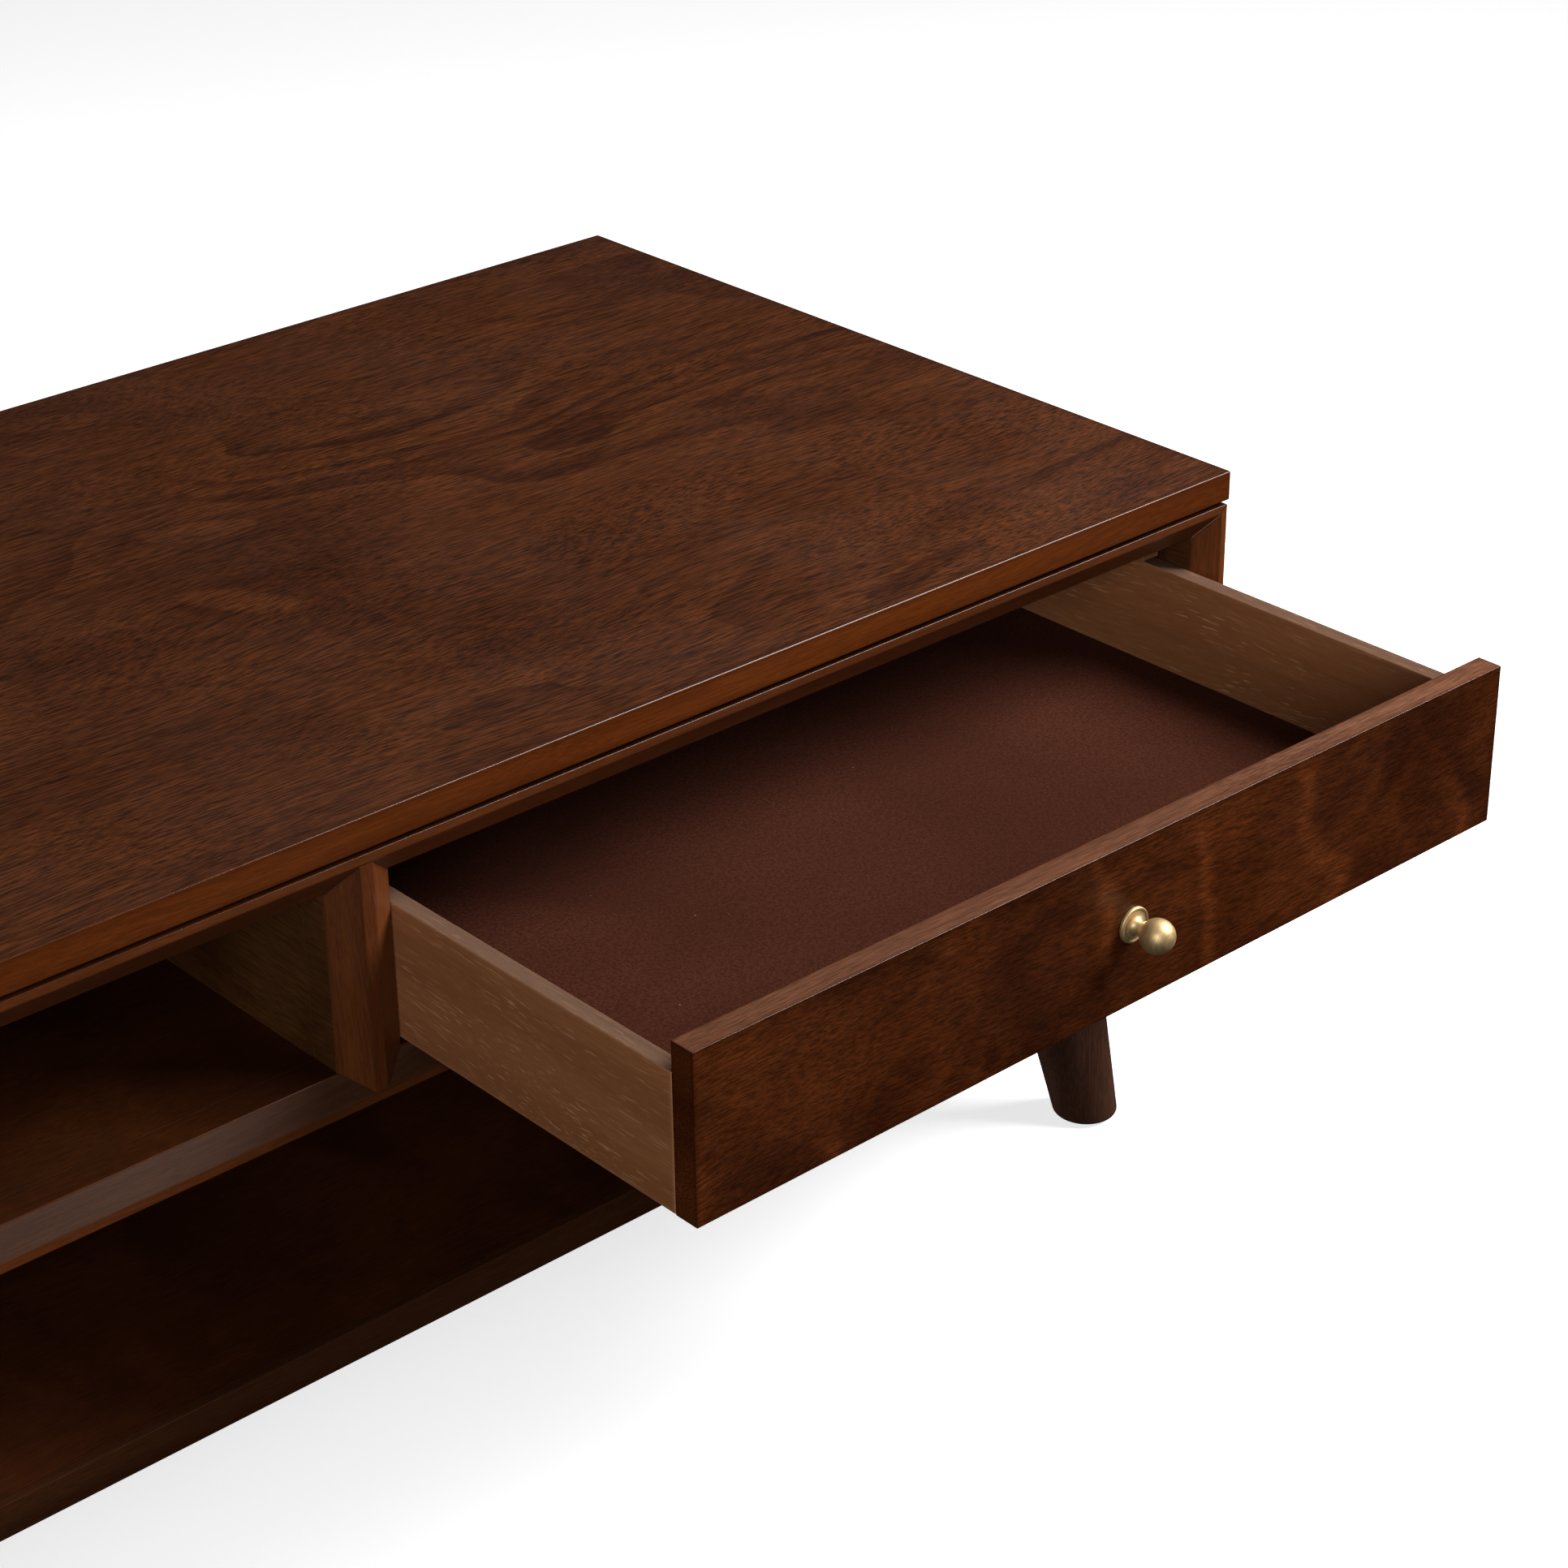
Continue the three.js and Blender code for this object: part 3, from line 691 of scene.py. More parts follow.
    def make_drawer_woods(self) -> None:
        """Makes the wood of the drawer's box and front, and the thin boards."""
        tan = dict(
            figure=Figure.STRAIGHT, body=(0.320, 0.1240, 0.0480), dark=(0.270, 0.1000, 0.0370),
            glow=(0.360, 0.1440, 0.0580), edge=(0.400, 0.1900, 0.0950), pore_colour=(0.66, 0.360, 0.190),
            streak_depth=0.07, pore_depth=0.6, pores_along=45, pores_across=1100, clusters=0.8,
            roughness=0.46, gloss=0.2,
        )
        # A greyer copy for the level faces of the drawer's boards: painted sheen.
        worn = dict(
            tan, body=(0.140, 0.0740, 0.0460), dark=(0.112, 0.0580, 0.0350), glow=(0.170, 0.0930, 0.0590),
            edge=(0.190, 0.1050, 0.0660), pore_depth=0.2,
        )
        board = dict(
            figure=Figure.STRAIGHT, body=(0.060, 0.0270, 0.0130), dark=(0.044, 0.0190, 0.0090),
            glow=(0.074, 0.0340, 0.0170), edge=(0.100, 0.0600, 0.0360), roughness=0.6, gloss=0.2,
        )
        self.drawer_across = Timber("drawer_across", Grain.ACROSS, **tan).make()
        self.drawer_depth = Timber("drawer_depth", Grain.DEPTH, **tan).make()
        self.level_painted_sheen_depth = Timber("level_painted_sheen_depth", Grain.DEPTH, **worn).make()
        self.level_painted_sheen_across = Timber("level_painted_sheen_across", Grain.ACROSS, **worn).make()
        self.back_board = Timber("back_board", Grain.UPRIGHT, **board).make()
        self.bottom_board = Timber("bottom_board", Grain.ACROSS, **board).make()
        self.figured = Timber(
            "figured_veneer", Grain.ACROSS, Figure.CURLED, body=(0.068, 0.0150, 0.0030),
            dark=(0.028, 0.0058, 0.0013), glow=(0.122, 0.0290, 0.0060), edge=(0.026, 0.0066, 0.0018),
            pore_colour=(0.026, 0.006, 0.0014), figure_depth=0.9, streak_depth=0.46, streaks_along=260,
            roughness=0.38, gloss=0.2,
        ).make()
        # The front board's level faces: lighter edging wood, with painted sheen in its colour.
        self.front_edge = Timber(
            "front_edge", Grain.ACROSS, Figure.STRAIGHT, body=(0.140, 0.0530, 0.0260),
            dark=(0.096, 0.0340, 0.0160), glow=(0.180, 0.0740, 0.0380), edge=(0.060, 0.0230, 0.0120),
            pore_colour=(0.050, 0.018, 0.008), streak_depth=0.34,
        ).make()


# ---- shaping ------------------------------------------------------------------------------------------
class Blank:
    """One piece while it is being shaped."""

    ARRIS = "arris"
    SHARP = math.radians(30)
    FLAT = math.radians(0.5)
    NARROW = 1.5 * MM  # faces this narrow get no border
    BORDER_SHARE = 0.3  # of a face's width that its border may take
    WELD, TURNED_WELD = 0.01 * MM, 0.001 * MM  # points nearer than this are one

    def __init__(self, mesh: bmesh.types.BMesh) -> None:
        """Takes a bmesh to shape.

        Args:
            mesh: the starting shape, in the model's frame.
        """
        self.mesh = mesh

    @classmethod
    def board(cls, node: str) -> "Blank":
        """A plain board that fills a node's box.

        Args:
            node: the node's name.

        Returns:
            The board.
        """
        low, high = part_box(node)
        mesh = bmesh.new()
        bmesh.ops.create_cube(mesh, size=1.0)
        bmesh.ops.scale(mesh, vec=high - low, verts=mesh.verts)
        bmesh.ops.translate(mesh, vec=(low + high) / 2, verts=mesh.verts)
        return cls(mesh)

    @classmethod
    def copy_of(cls, node: str) -> "Blank":
        """The exact solid of a node, with its flat faces made whole.

        Args:
            node: the node's name.

        Returns:
            The copy.
        """
        mesh = bmesh.new()
        mesh.from_mesh(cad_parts[node].data)
        bmesh.ops.remove_doubles(mesh, verts=mesh.verts, dist=cls.WELD)
        bmesh.ops.dissolve_limit(
            mesh, angle_limit=cls.FLAT, verts=mesh.verts, edges=mesh.edges, use_dissolve_boundaries=False
        )
        return cls(mesh)

    @classmethod
    def turned(cls, profile: Profile, sides: int) -> "Blank":
        """A body turned about +Z.

        Args:
            profile: radius and height of each point, starting and ending on the axis.
            sides: steps in the full turn.

        Returns:
            The turned body.
        """
        mesh = bmesh.new()
        points = [mesh.verts.new((radius, 0, height)) for radius, height in profile]
        edges = [mesh.edges.new(pair) for pair in zip(points, points[1:])]
        bmesh.ops.spin(
            mesh, geom=points + edges, cent=(0, 0, 0), axis=(0, 0, 1), angle=2 * math.pi, steps=sides,
            use_merge=True,
        )
        bmesh.ops.remove_doubles(mesh, verts=mesh.verts, dist=cls.TURNED_WELD)
        bmesh.ops.recalc_face_normals(mesh, faces=mesh.faces)
        return cls(mesh)

    def round_arrises(self, radius: float, segments: int = 3) -> "Blank":
        """Rounds every sharp edge.

        Args:
            radius: the arris's radius.
            segments: steps across it.

        Returns:
            The blank itself.
        """
        sharp = [e for e in self.mesh.edges if e.is_manifold and e.calc_face_angle() > self.SHARP]
        bmesh.ops.bevel(
            self.mesh, geom=sharp, offset=radius, offset_type="OFFSET", segments=segments, profile=0.5,
            affect="EDGES", material=-1, clamp_overlap=True,
        )
        return self

    def mark_arrises(self, border: float) -> "Blank":
        """Gives each flat face a border, and marks how near to an arris every point is.

        Args:
            border: how far in from the arris the mark reaches, where the face is wide enough.

        Returns:
            The blank itself.
        """
        mark = self.mesh.verts.layers.float.new(self.ARRIS)
        for vert in self.mesh.verts:
            vert[mark] = 1.0
        for region in self.flat_regions():
            longest = max(edge.calc_length() for face in region for edge in face.edges)
            width = sum(face.calc_area() for face in region) / longest
            if width < self.NARROW:
                continue
            self.inset(region, min(border, self.BORDER_SHARE * width))
        return self

    def inset(self, region: list[bmesh.types.BMFace], width: float) -> None:
        """Insets some faces and takes the arris mark off what is left inside their border.

        Args:
            region: the faces.
            width: how wide the border is.
        """
        bmesh.ops.inset_region(
            self.mesh, faces=region, thickness=width, use_even_offset=True, use_boundary=True
        )
        self.set_mark(region, 0.0)

    def set_mark(self, region: list[bmesh.types.BMFace], level: float) -> None:
        """Sets the arris mark on every corner of some faces."""
        mark = self.mesh.verts.layers.float[self.ARRIS]
        for vert in (vert for face in region for vert in face.verts):
            vert[mark] = level

    def fade_border(
        self, chosen: Callable[[bmesh.types.BMFace], bool], level: float, width: float
    ) -> "Blank":
        """Lets the arris mark of some flat faces fade out over a second, wider border.

        Args:
            chosen: says of a face whether it is one of them.
            level: the mark where the second border starts.
            width: how wide it is.

        Returns:
            The blank itself.
        """
        mark = self.mesh.verts.layers.float[self.ARRIS]
        self.mesh.normal_update()
        plain = [face for face in self.mesh.faces if not any(vert[mark] for vert in face.verts)]
        region = [face for face in plain if chosen(face)]
        self.set_mark(region, level)
        self.inset(region, width)
        return self

    def flat_regions(self) -> list[list[bmesh.types.BMFace]]:
        """Faces gathered where neighbours lie in one plane, so that a face round a hole counts as one.

        Returns:
            The regions, in the order of their first faces.
        """
        regions, seen = [], set()
        for first in self.mesh.faces:
            if first in seen:
                continue
            seen.add(first)
            region = [first]
            for face in region:
                joined = [edge for edge in face.edges if edge.is_manifold]
                flat = [edge for edge in joined if edge.calc_face_angle() < self.FLAT]
                for near in (near for edge in flat for near in edge.link_faces if near not in seen):
                    seen.add(near)
                    region.append(near)
            regions.append(region)
        return regions

    def paint(self, index: int, chosen: Callable[[bmesh.types.BMFace], bool]) -> "Blank":
        """Gives some faces another of the piece's finishes.

        Args:
            index: the finish's place in the piece's list.
            chosen: says of a face whether it is one of them.

        Returns:
            The blank itself.
        """
        self.mesh.normal_update()
        for face in self.mesh.faces:
            if chosen(face):
                face.material_index = index
        return self

    def move(self, matrix: Matrix) -> "Blank":
        """Moves, turns or shears the blank.

        Args:
            matrix: the change of place.

        Returns:
            The blank itself.
        """
        bmesh.ops.transform(self.mesh, matrix=matrix, verts=self.mesh.verts)
        return self

    def piece(
        self, name: str, finishes: list[bpy.types.Material], flat_faces: bool = True
    ) -> bpy.types.Object:
        """Ends the shaping.

        Args:
            name: the piece's name.
            finishes: its materials, in the order of the faces' indices.
            flat_faces: keeps large flat faces flat under smooth shading, for boards.

        Returns:
            The finished object.
        """
        for face in self.mesh.faces:
            face.smooth = True
        if not flat_faces:
            for edge in self.mesh.edges:
                edge.smooth = not edge.is_manifold or edge.calc_face_angle() < self.SHARP
        data = bpy.data.meshes.new(name)
        self.mesh.to_mesh(data)
        self.mesh.free()
        for finish in finishes:
            data.materials.append(finish)
        piece = bpy.data.objects.new(name, data)
        bpy.context.scene.collection.objects.link(piece)
        if flat_faces:
            piece.modifiers.new("flat_faces", "WEIGHTED_NORMAL")
        return piece


class SubAssembly:
    """Pieces that are made together and ride on one body."""

    body: Body = Body.CASE

    def fit(self, piece: bpy.types.Object, slot: Slot, *nodes: str) -> None:
        """Puts a finished piece on its body, in place of its nodes.

        Args:
            piece: the piece.
            slot: the record's material slot; not used.
            nodes: the nodes that it stands for.
        """
        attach(piece, self.body.value)
        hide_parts(*nodes)
        LOG.info("%s stands for %s on %s", piece.name, ", ".join(nodes), self.body.value)

    def dress_node(self, node: str, finish: bpy.types.Material) -> None:
        """Gives a node that is kept as it is its finish.

        Args:
            node: the node's name.
            finish: the material.
        """
        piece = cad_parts[node]
        piece.data.materials.clear()
        piece.data.materials.append(finish)
        LOG.info("%s keeps its shape", node)


# ---- the console's sub-assemblies ---------------------------------------------------------------------
def faces_up_or_down(face: bmesh.types.BMFace) -> bool:
    """Whether a face is level."""
    return abs(face.normal.z) > FACING


def faces_sideways(face: bmesh.types.BMFace) -> bool:
    """Whether a face looks along X."""
    return abs(face.normal.x) > FACING


def faces_front(face: bmesh.types.BMFace) -> bool:
    """Whether a face looks to the front."""
    return face.normal.y < -FACING


def is_top_bevel(face: bmesh.types.BMFace) -> bool:
    """Whether a face leans both to the front and upwards."""
    return face.normal.y < -LEANING and face.normal.z > LEANING


@dataclass
class Top(SubAssembly):
    """The top board on its black spacer."""

    finishes: Finishes
    arris: float = 1.1 * MM
    arris_steps: int = 4
    # Width of the slab's greyer band along its arrises: painted sheen with worn lacquer.
    border: float = 9 * MM

    def build(self) -> None:
        """Builds the slab and dresses the spacer."""
        slab = Blank.board("top_slab").round_arrises(self.arris, self.arris_steps).mark_arrises(self.border)
        slab.paint(1, lambda face: not faces_up_or_down(face)).paint(2, faces_sideways)
        looks = [self.finishes.veneer_top, self.finishes.edge_across, self.finishes.edge_depth]
        self.fit(slab.piece("slab", looks), Slot.VENEER, "top_slab")
        self.dress_node("top_spacer", self.finishes.black_stain)


@dataclass
class FaceFrame(SubAssembly):
    """The bevelled frame round the openings: stiles, rails, the post between the bays and the lipping."""

    finishes: Finishes
    arris: float = 0.5 * MM
    border: float = 2.5 * MM
    skin: float = 2 * MM  # how far in from the ends a sideways face counts as a lining

    BESIDE, LEVEL, TOP_BEVEL = 1, 2, 3  # the finishes after a member's own

    def build(self) -> None:
        """Builds each member with its mitred or coped ends."""
        made, inside = self.finishes, (self.finishes.divider, self.finishes.inside_across)
        for node in ("left_stile", "right_stile", "divider_post"):
            self.shape_member(node, [made.solid_upright, *inside])
        self.shape_member("top_rail", [made.solid_across, *inside])
        self.shape_member("shelf_lipping", [made.lipping, *inside], level_lined=False)
        self.shape_member("mid_rail", [made.solid_across, *inside, made.bevel_painted_sheen_across])

    def shape_member(self, node: str, looks: list[bpy.types.Material], level_lined: bool = True) -> None:
        """Shapes one member, and stains what it shows of the bays like their linings.

        Args:
            node: the member's node.
            looks: its face's finish, the lining's beside and across, and a last one for its top bevel, a
                greyer copy that paints sheen.
            level_lined: gives its level faces the lining's finish.
        """
        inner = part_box("right_side_panel")[1].x - self.skin
        member = Blank.copy_of(node).round_arrises(self.arris).mark_arrises(self.border)
        member.paint(
            self.BESIDE, lambda face: faces_sideways(face) and abs(face.calc_center_median().x) < inner
        )
        if level_lined:
            member.paint(self.LEVEL, faces_up_or_down)
        if self.TOP_BEVEL < len(looks):
            member.paint(self.TOP_BEVEL, is_top_bevel)
        self.fit(member.piece(f"frame_{node}", looks), Slot.SOLID, node)


@dataclass
class CasePanels(SubAssembly):
    """The boards behind the frame: ends, dividers, the case's top, the deck and the open shelf."""

    finishes: Finishes
    arris: float = 0.5 * MM
    inner_arris: float = 0.15 * MM  # of the boards whose edges meet the frame
    border: float = 3 * MM

    def build(self) -> None:
        """Builds the boards."""
        for side in ("left", "right"):
            end = Blank.board(f"{side}_side_panel").round_arrises(self.arris).mark_arrises(self.border)
            piece = end.piece(f"end_panel_{side}", [self.finishes.veneer_side])
            self.fit(piece, Slot.VENEER, f"{side}_side_panel")
        boards = {
            "divider_panel_left": self.finishes.divider, "divider_panel_right": self.finishes.divider,
            "case_top_panel": self.finishes.inside_across, "deck_panel": self.finishes.inside_across,
            "bottom_shelf": self.finishes.shelf,
        }
        for node, finish in boards.items():
            board = Blank.board(node).round_arrises(self.inner_arris).mark_arrises(self.border)
            self.fit(board.piece(f"board_{node}", [finish]), Slot.INSIDE, node)


@dataclass
class Backs(SubAssembly):
    """The thin back panels with their cable ports and grommets."""

    finishes: Finishes
    arris: float = 0.4 * MM
    arris_steps: int = 2
    border: float = 2 * MM

    def build(self) -> None:
        """Builds the panels and grommets."""
        for node in ("back_panel_cubby", "back_panel_drawer", "back_panel_shelf"):
            panel = Blank.copy_of(node).round_arrises(self.arris, self.arris_steps).mark_arrises(self.border)
            self.fit(panel.piece(f"sheet_{node}", [self.finishes.back_board]), Slot.BACK_BOARD, node)
        for node in ("cable_grommet_cubby", "cable_grommet_shelf"):
            self.dress_node(node, self.finishes.plastic)


@dataclass
class Runners(SubAssembly):
    """What the drawer runs on and between: slips, kickers, stops and the centre runner."""

    finishes: Finishes
    arris: float = 0.6 * MM
    arris_steps: int = 2
    border: float = 2 * MM

    def build(self) -> None:
        """Builds the strips and blocks."""
        nodes = [f"drawer_{kind}_{side}" for kind in ("slip", "kicker", "stop") for side in ("left", "right")]
        for node in [*nodes, "drawer_centre_runner"]:
            strip = Blank.board(node).round_arrises(self.arris, self.arris_steps).mark_arrises(self.border)
            self.fit(strip.piece(f"strip_{node}", [self.finishes.drawer_depth]), Slot.DRAWER_WOOD, node)


@dataclass
class Drawer(SubAssembly):
    """The drawer's box, front and felt."""

    finishes: Finishes
    front_arris: float = 0.9 * MM
    front_steps: int = 4
    front_border: float = 16 * MM
    front_fade: float = 0.62
    side_arris: float = 0.9 * MM
    bottom_arris: float = 0.4 * MM
    bottom_steps: int = 2
    border: float = 3 * MM
    felt_step: float = 5 * MM
    felt_roll: float = 9 * MM
    roll_drop: float = 0.7 * MM
    nap_wave: float = 0.3 * MM
    waves_per_metre: float = 28
    body: Body = Body.DRAWER

    def build(self) -> None:
        """Builds the drawer's pieces."""
        made = self.finishes
        front = Blank.copy_of("drawer_front").round_arrises(self.front_arris, self.front_steps)
        front.mark_arrises(self.border).fade_border(faces_front, self.front_fade, self.front_border)
        self.box_part("drawer_front", "front_board", front, [made.figured, made.front_edge], Slot.FIGURED)
        for node in ("drawer_side_left", "drawer_side_right"):
            side = Blank.copy_of(node).round_arrises(self.side_arris).mark_arrises(self.border)
            self.box_part(node, f"box_{node}", side, [made.drawer_depth, made.level_painted_sheen_depth], Slot.DRAWER_WOOD)
        back = Blank.board("drawer_back").round_arrises(self.side_arris).mark_arrises(self.border)
        looks = [made.drawer_across, made.level_painted_sheen_across]
        self.box_part("drawer_back", "box_drawer_back", back, looks, Slot.DRAWER_WOOD)
        bottom = Blank.board("drawer_bottom").round_arrises(self.bottom_arris, self.bottom_steps)
        piece = bottom.mark_arrises(self.border).piece("box_drawer_bottom", [made.bottom_board])
        self.fit(piece, Slot.BACK_BOARD, "drawer_bottom")
        self.lay_felt()
        self.dress_node("drawer_guide_shoe", made.plastic)

    def box_part(
        self, node: str, name: str, part: Blank, looks: list[bpy.types.Material], slot: Slot
    ) -> None:
        """Gives a part of the drawer its level faces' own finish, whose colour paints sheen, and fits it.

        Args:
            node: the node that it stands for.
            name: the piece's name.
            part: the shaped part.
            looks: its finish, and the one of its level faces, which carries painted sheen.
            slot: the record's material slot.
        """
        part.paint(1, faces_up_or_down)
        self.fit(part.piece(name, looks), slot, node)

    def lay_felt(self) -> None:
        """Lays the felt, with rolled edges and a nap that isn't quite level."""
        low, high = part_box("drawer_felt")
        width, length, thick = high - low
        mesh = bmesh.new()
        across, along = (round(size / self.felt_step) for size in (width, length))
        bmesh.ops.create_grid(mesh, x_segments=across, y_segments=along, size=0.5)
        bmesh.ops.scale(mesh, vec=(width, length, 1), verts=mesh.verts)
        for vert in mesh.verts:
            inward = min(width / 2 - abs(vert.co.x), length / 2 - abs(vert.co.y))
            roll = (1 - min(inward / self.felt_roll, 1)) ** 2 * self.roll_drop
            wave = (1 + noise.noise(vert.co * self.waves_per_metre)) / 2 * self.nap_wave
            vert.co.z = -roll - wave
        skirt = bmesh.ops.extrude_face_region(mesh, geom=mesh.faces[:])["geom"]
        for vert in (item for item in skirt if isinstance(item, bmesh.types.BMVert)):
            vert.co.z = -thick
        bmesh.ops.recalc_face_normals(mesh, faces=mesh.faces)
        felt = Blank(mesh).move(Matrix.Translation(((low.x + high.x) / 2, (low.y + high.y) / 2, high.z)))
        piece = felt.piece("felt_liner", [self.finishes.felt], flat_faces=False)
        self.fit(piece, Slot.FELT, "drawer_felt")


@dataclass
class Knob(SubAssembly):
    """The turned brass knob on its rose, and the screw that holds it."""

    finishes: Finishes
    sides: int = 64
    foot: float = 7 * MM
    waist: float = 3.4 * MM
    collar: float = 5 * MM
    collar_thick: float = 1 * MM
    ball_seat: float = 4.2 * MM
    bead: float = 1.0 * MM
    dish: float = 0.5 * MM
    rim_beads: float = 2.2  # width of the rose's rim, in beads
    rim_turn: float = 120  # degrees that the rim's rounding runs through
    bead_steps: int = 8
    neck_steps: int = 12
    ball_steps: int = 36
    body: Body = Body.DRAWER

    def build(self) -> None:
        """Builds the knob and the rose, and dresses the screw."""
        for node, profile in (("knob_rose", self.rose_profile()), ("knob", self.knob_profile())):
            low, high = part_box(node)
            seat = Matrix.Translation(((low.x + high.x) / 2, high.y, (low.z + high.z) / 2))
            turned = Blank.turned(profile, self.sides).move(seat @ Matrix.Rotation(math.pi / 2, 4, "X"))
            piece = turned.piece(f"turned_{node}", [self.finishes.brass], flat_faces=False)
            self.fit(piece, Slot.BRASS, node)
        self.dress_node("knob_screw", self.finishes.steel)

    def rose_profile(self) -> Profile:
        """The rose: a rounded rim, a shallow dish inside it and a raised seat for the neck."""
        low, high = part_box("knob_rose")
        radius, thick = (high.x - low.x) / 2, high.y - low.y
        rim = arc((radius - self.bead, thick - self.bead), self.bead, 0, self.rim_turn, self.bead_steps)
        floor = thick - self.dish
        inner = radius - self.rim_beads * self.bead
        dish = [(inner, floor), (self.foot + self.bead, floor), (self.foot, thick)]
        return [(0, 0), (radius, 0), *rim, *dish, (0, thick)]

    def knob_profile(self) -> Profile:
        """The knob: a flared foot, a hollow neck, a small collar and the ball."""
        low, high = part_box("knob")
        ball = (high.x - low.x) / 2
        centre = high.y - low.y - ball
        seat = math.degrees(math.acos(self.ball_seat / ball))
        collar_top = centre - ball * math.sin(math.radians(seat))
        neck_top = collar_top - self.collar_thick
        hollow = self.foot - self.waist
        quarters = [math.pi / 2 * step / self.neck_steps for step in range(self.neck_steps + 1)]
        neck = [(self.foot - hollow * math.sin(q), neck_top * (1 - math.cos(q))) for q in quarters]
        half = self.collar_thick / 2
        ring = arc((self.collar - half, neck_top + half), half, -90, 90, self.bead_steps)
        return [(0, 0), *neck, *ring, *arc((0, centre), ball, -seat, 90, self.ball_steps)]


@dataclass
class Legs(SubAssembly):
    """Four splayed tapered legs with their plates, bolts and glides."""

    finishes: Finishes
    sides: int = 64
    foot_radius: float = 21.7 * MM
    top_radius: float = 30.6 * MM
    foot_round: float = 3 * MM
    foot_steps: int = 8
    splay: float = 0.138  # sideways run per unit of drop
    soft_edge: float = 0.4 * MM
    soft_steps: int = 2

    def build(self) -> None:
        """Builds the legs and what holds them."""
        for end, back in (("front", -1), ("back", 1)):
            for side, right in (("left", -1), ("right", 1)):
                corner = f"{end}_{side}"
                self.turn_leg(f"leg_{corner}", right, back)
                self.soften(f"leg_plate_{corner}", self.finishes.steel, Slot.STEEL)
                self.soften(f"leg_glide_{corner}", self.finishes.plastic, Slot.PLASTIC)
                self.dress_node(f"leg_bolt_{corner}", self.finishes.steel)

    def turn_leg(self, node: str, right: int, back: int) -> None:
        """Turns one leg and leans it out towards its corner.

        Args:
            node: the leg's node.
            right: 1 on the right and -1 on the left.
            back: 1 at the back and -1 at the front.
        """
        low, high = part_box(node)
        foot_x = (high.x if right > 0 else low.x) - right * self.foot_radius
        foot_y = (high.y if back > 0 else low.y) - back * self.foot_radius
        height = high.z - low.z
        round_centre = (self.foot_radius - self.foot_round, self.foot_round)
        edge = arc(round_centre, self.foot_round, -90, 0, self.foot_steps)
        lean = Matrix.Identity(4)
        lean[0][2], lean[1][2] = -right * self.splay, -back * self.splay
        leg = Blank.turned([(0, 0), *edge, (self.top_radius, height), (0, height)], self.sides)
        leg.move(Matrix.Translation((foot_x, foot_y, low.z)) @ lean)
        piece = leg.piece(f"turned_{node}", [self.finishes.leg], flat_faces=False)
        self.fit(piece, Slot.LEG_WOOD, node)

    def soften(self, node: str, finish: bpy.types.Material, slot: Slot) -> None:
        """Makes a fitting from its node, with its hard edges eased.

        Args:
            node: the fitting's node.
            finish: its material.
            slot: the record's slot for it.
        """
        fitting = Blank.copy_of(node).round_arrises(self.soft_edge, self.soft_steps)
        self.fit(fitting.piece(f"fitting_{node}", [finish], flat_faces=False), slot, node)


# ---- studio -------------------------------------------------------------------------------------------
@dataclass(frozen=True)
class SoftBox:
    """One area light, placed by the direction that it shines from."""

    name: str
    towards: Triple
    distance: float
    width: float
    height: float
    level: float
    aim: Triple = (0.15, -0.3, 0.4)

    def hang(self) -> None:
        """Makes the light. Its level is what a white card at the aim, square to it, would show."""
        light = bpy.data.lights.new(self.name, "AREA")
        light.shape = "RECTANGLE"
        light.size, light.size_y = self.width, self.height
        light.energy = self.level * (math.pi * self.distance) ** 2
        lamp = bpy.data.objects.new(self.name, light)
        towards = Vector(self.towards).normalized()
        lamp.location = Vector(self.aim) + towards * self.distance
        lamp.rotation_euler = towards.to_track_quat("Z", "Y").to_euler()
        bpy.context.scene.collection.objects.link(lamp)


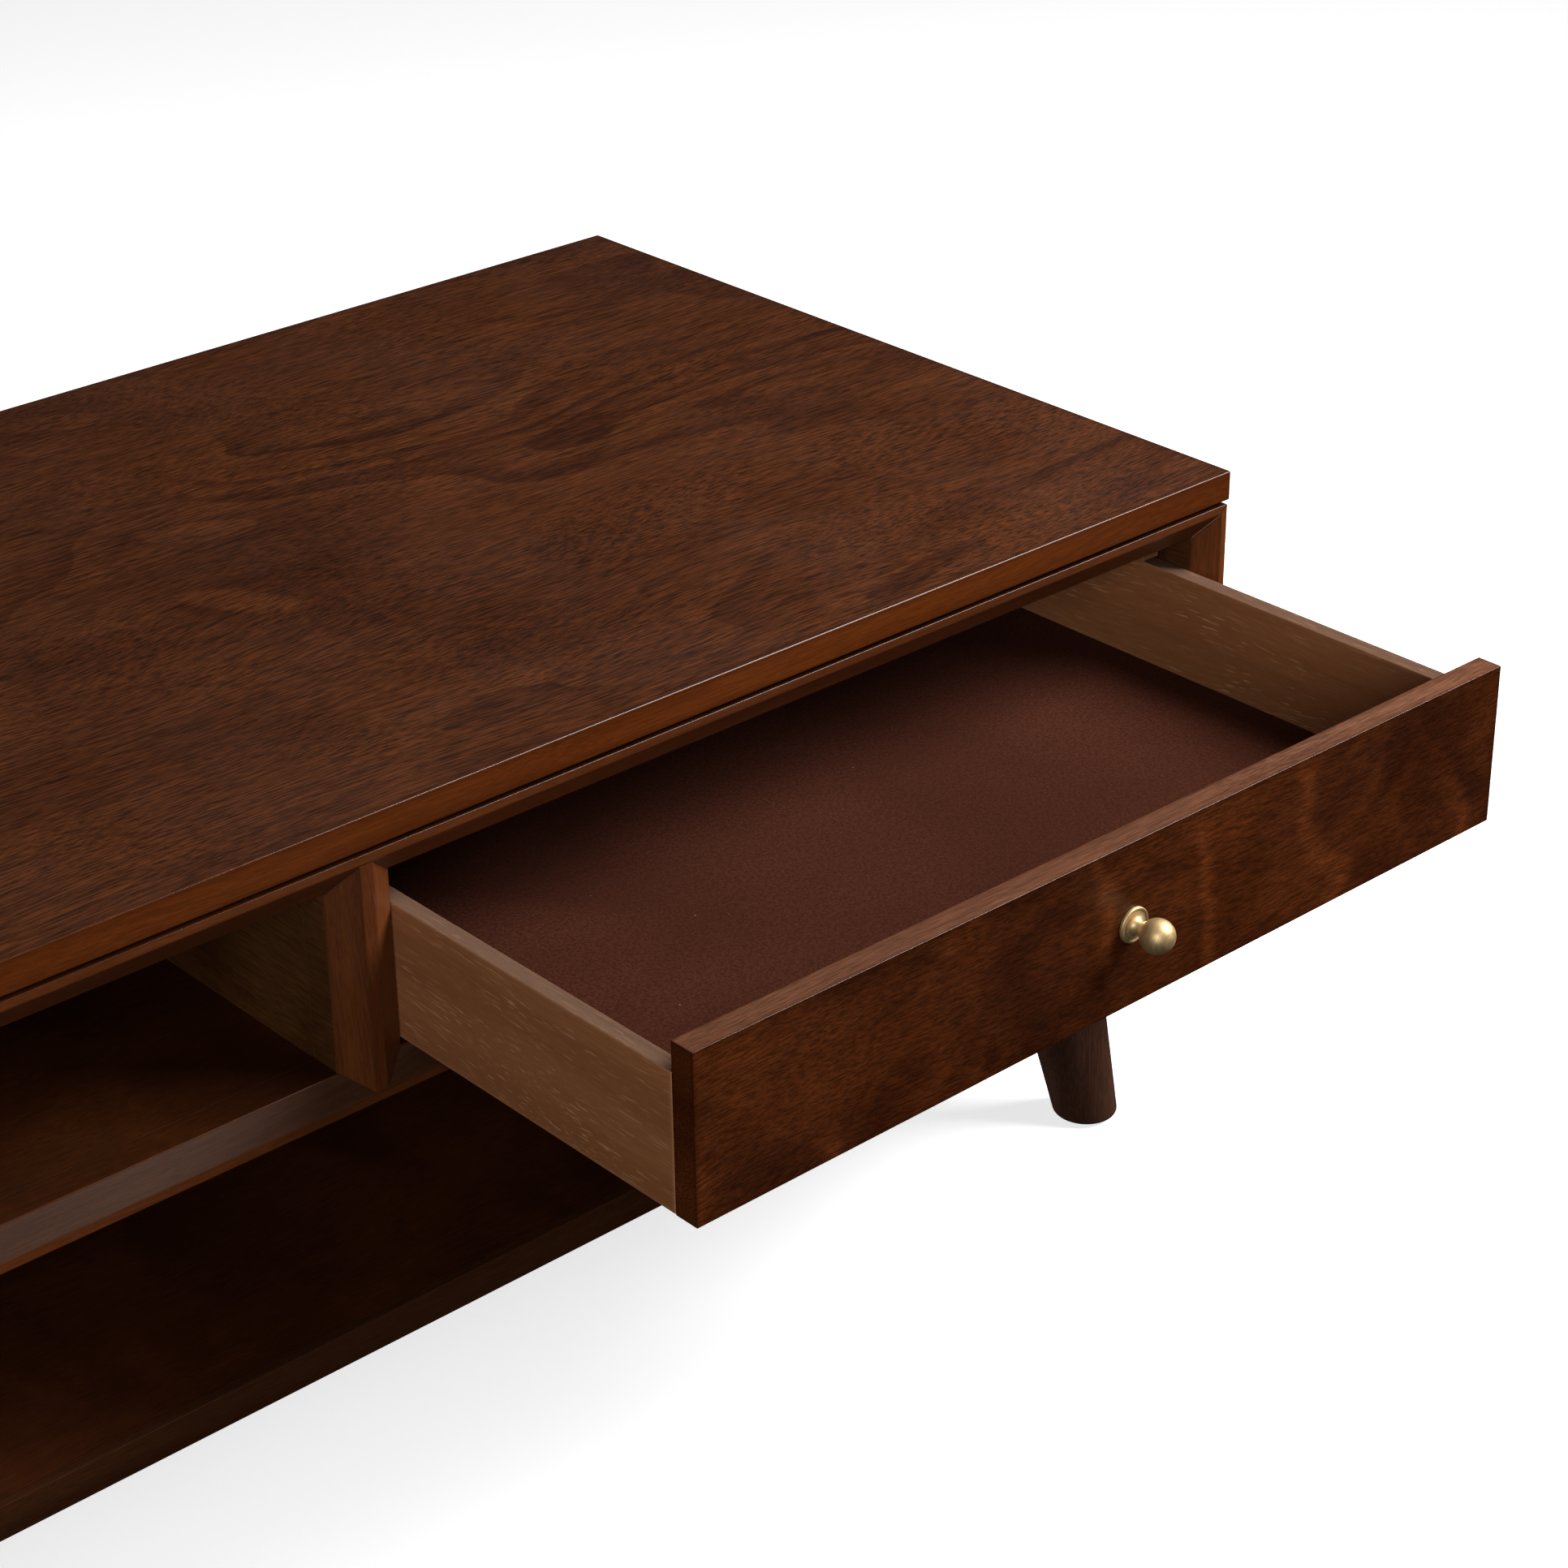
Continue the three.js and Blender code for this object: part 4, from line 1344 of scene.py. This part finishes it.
@dataclass
class Studio:
    """The floor, the backdrop, the lights and the camera."""

    eye: Triple = (-0.88892, -1.62388, 1.30944)
    tilt: Triple = (62.2893, 0.6695, -41.9817)
    lens: float = 81.631
    floor_radius: float = 9.0
    floor_sides: int = 96
    floor_drop: float = 0.3 * MM
    floor_glow: float = 0.78
    backdrop_reach: float = 1.4  # the backdrop's radius, in radii of the floor
    backdrop_sides: int = 48
    backdrop_glow: float = 1.2
    pale: Colour = (0.86, 0.86, 0.86)
    sky_top: float = 0.12
    sky_level: float = 0.01
    sky_rise: tuple[float, float] = (0.5, 1.0)  # heights between which the sky brightens
    lights: tuple[SoftBox, ...] = (
        SoftBox("key", (0.66, -0.41, 0.64), distance=2.7, width=1.4, height=1.4, level=1.65),
        SoftBox("fill", (-0.62, -0.69, 0.36), distance=2.5, width=1.2, height=1.2, level=0.42),
        # This one is lower than the top's face, so that it reaches only the back.
        SoftBox("back", (-0.30, 0.95, -0.09), distance=2.6, width=1.8, height=0.25, level=0.4),
    )

    def build(self) -> None:
        """Builds the studio."""
        self.aim_camera()
        self.lay_floor()
        self.hang_backdrop()
        self.light_sky()
        for light in self.lights:
            light.hang()
        bpy.context.scene.view_settings.view_transform = "Standard"

    def aim_camera(self) -> None:
        """Makes the camera."""
        camera = bpy.data.objects.new("camera", bpy.data.cameras.new("camera"))
        camera.data.lens = self.lens
        camera.location = self.eye
        camera.rotation_euler = [math.radians(angle) for angle in self.tilt]
        bpy.context.scene.collection.objects.link(camera)
        bpy.context.scene.camera = camera

    def lay_floor(self) -> None:
        """Lays a plain pale floor."""
        mesh = bmesh.new()
        bmesh.ops.create_circle(mesh, cap_ends=True, segments=self.floor_sides, radius=self.floor_radius)
        bmesh.ops.translate(mesh, vec=(0, 0, -self.floor_drop), verts=mesh.verts)
        wiring = Wiring("pale_floor")
        wiring.surface(Base_Color=self.pale, Roughness=0.9, Specular_IOR_Level=0.0)
        wiring.surface(Emission_Color=self.pale, Emission_Strength=self.floor_glow)
        floor = Blank(mesh).piece("floor", [wiring.material])
        floor.visible_glossy = False
        floor.visible_diffuse = False

    def hang_backdrop(self) -> None:
        """Hangs a pale backdrop all round, which neither lights nor shades anything."""
        mesh = bmesh.new()
        sides, radius = self.backdrop_sides, self.floor_radius * self.backdrop_reach
        bmesh.ops.create_uvsphere(mesh, u_segments=sides, v_segments=sides // 2, radius=radius)
        bmesh.ops.reverse_faces(mesh, faces=mesh.faces)
        wiring = Wiring("pale_backdrop")
        wiring.surface(
            Base_Color=(0, 0, 0), Emission_Color=self.pale, Emission_Strength=self.backdrop_glow
        )
        backdrop = Blank(mesh).piece("backdrop", [wiring.material])
        for ray in ("diffuse", "glossy", "transmission", "shadow", "volume_scatter"):
            setattr(backdrop, f"visible_{ray}", False)

    def light_sky(self) -> None:
        """Lights the world: bright overhead and dim towards the horizon."""
        world = bpy.data.worlds.new("studio_sky")
        world.use_nodes = True
        tree = world.node_tree
        nodes = tree.nodes
        height = nodes.new("ShaderNodeSeparateXYZ")
        tree.links.new(nodes.new("ShaderNodeTexCoord").outputs["Generated"], height.inputs[0])
        strength = nodes.new("ShaderNodeMapRange")
        strength.interpolation_type = "SMOOTHSTEP"
        tree.links.new(height.outputs["Z"], strength.inputs[0])
        for index, value in enumerate((*self.sky_rise, self.sky_level, self.sky_top), start=1):
            strength.inputs[index].default_value = value
        background = nodes["Background"]
        background.inputs["Color"].default_value = (1, 1, 1, 1)
        tree.links.new(strength.outputs[0], background.inputs["Strength"])
        bpy.context.scene.world = world


def main() -> None:
    """Builds the studio and every sub-assembly, in order."""
    logging.basicConfig(level=logging.INFO, format="%(message)s")
    Studio().build()
    finishes = Finishes()
    for kind in (Top, FaceFrame, CasePanels, Backs, Runners, Drawer, Knob, Legs):
        LOG.info("building %s", kind.__name__)
        kind(finishes).build()


if __name__ == "__main__":
    main()
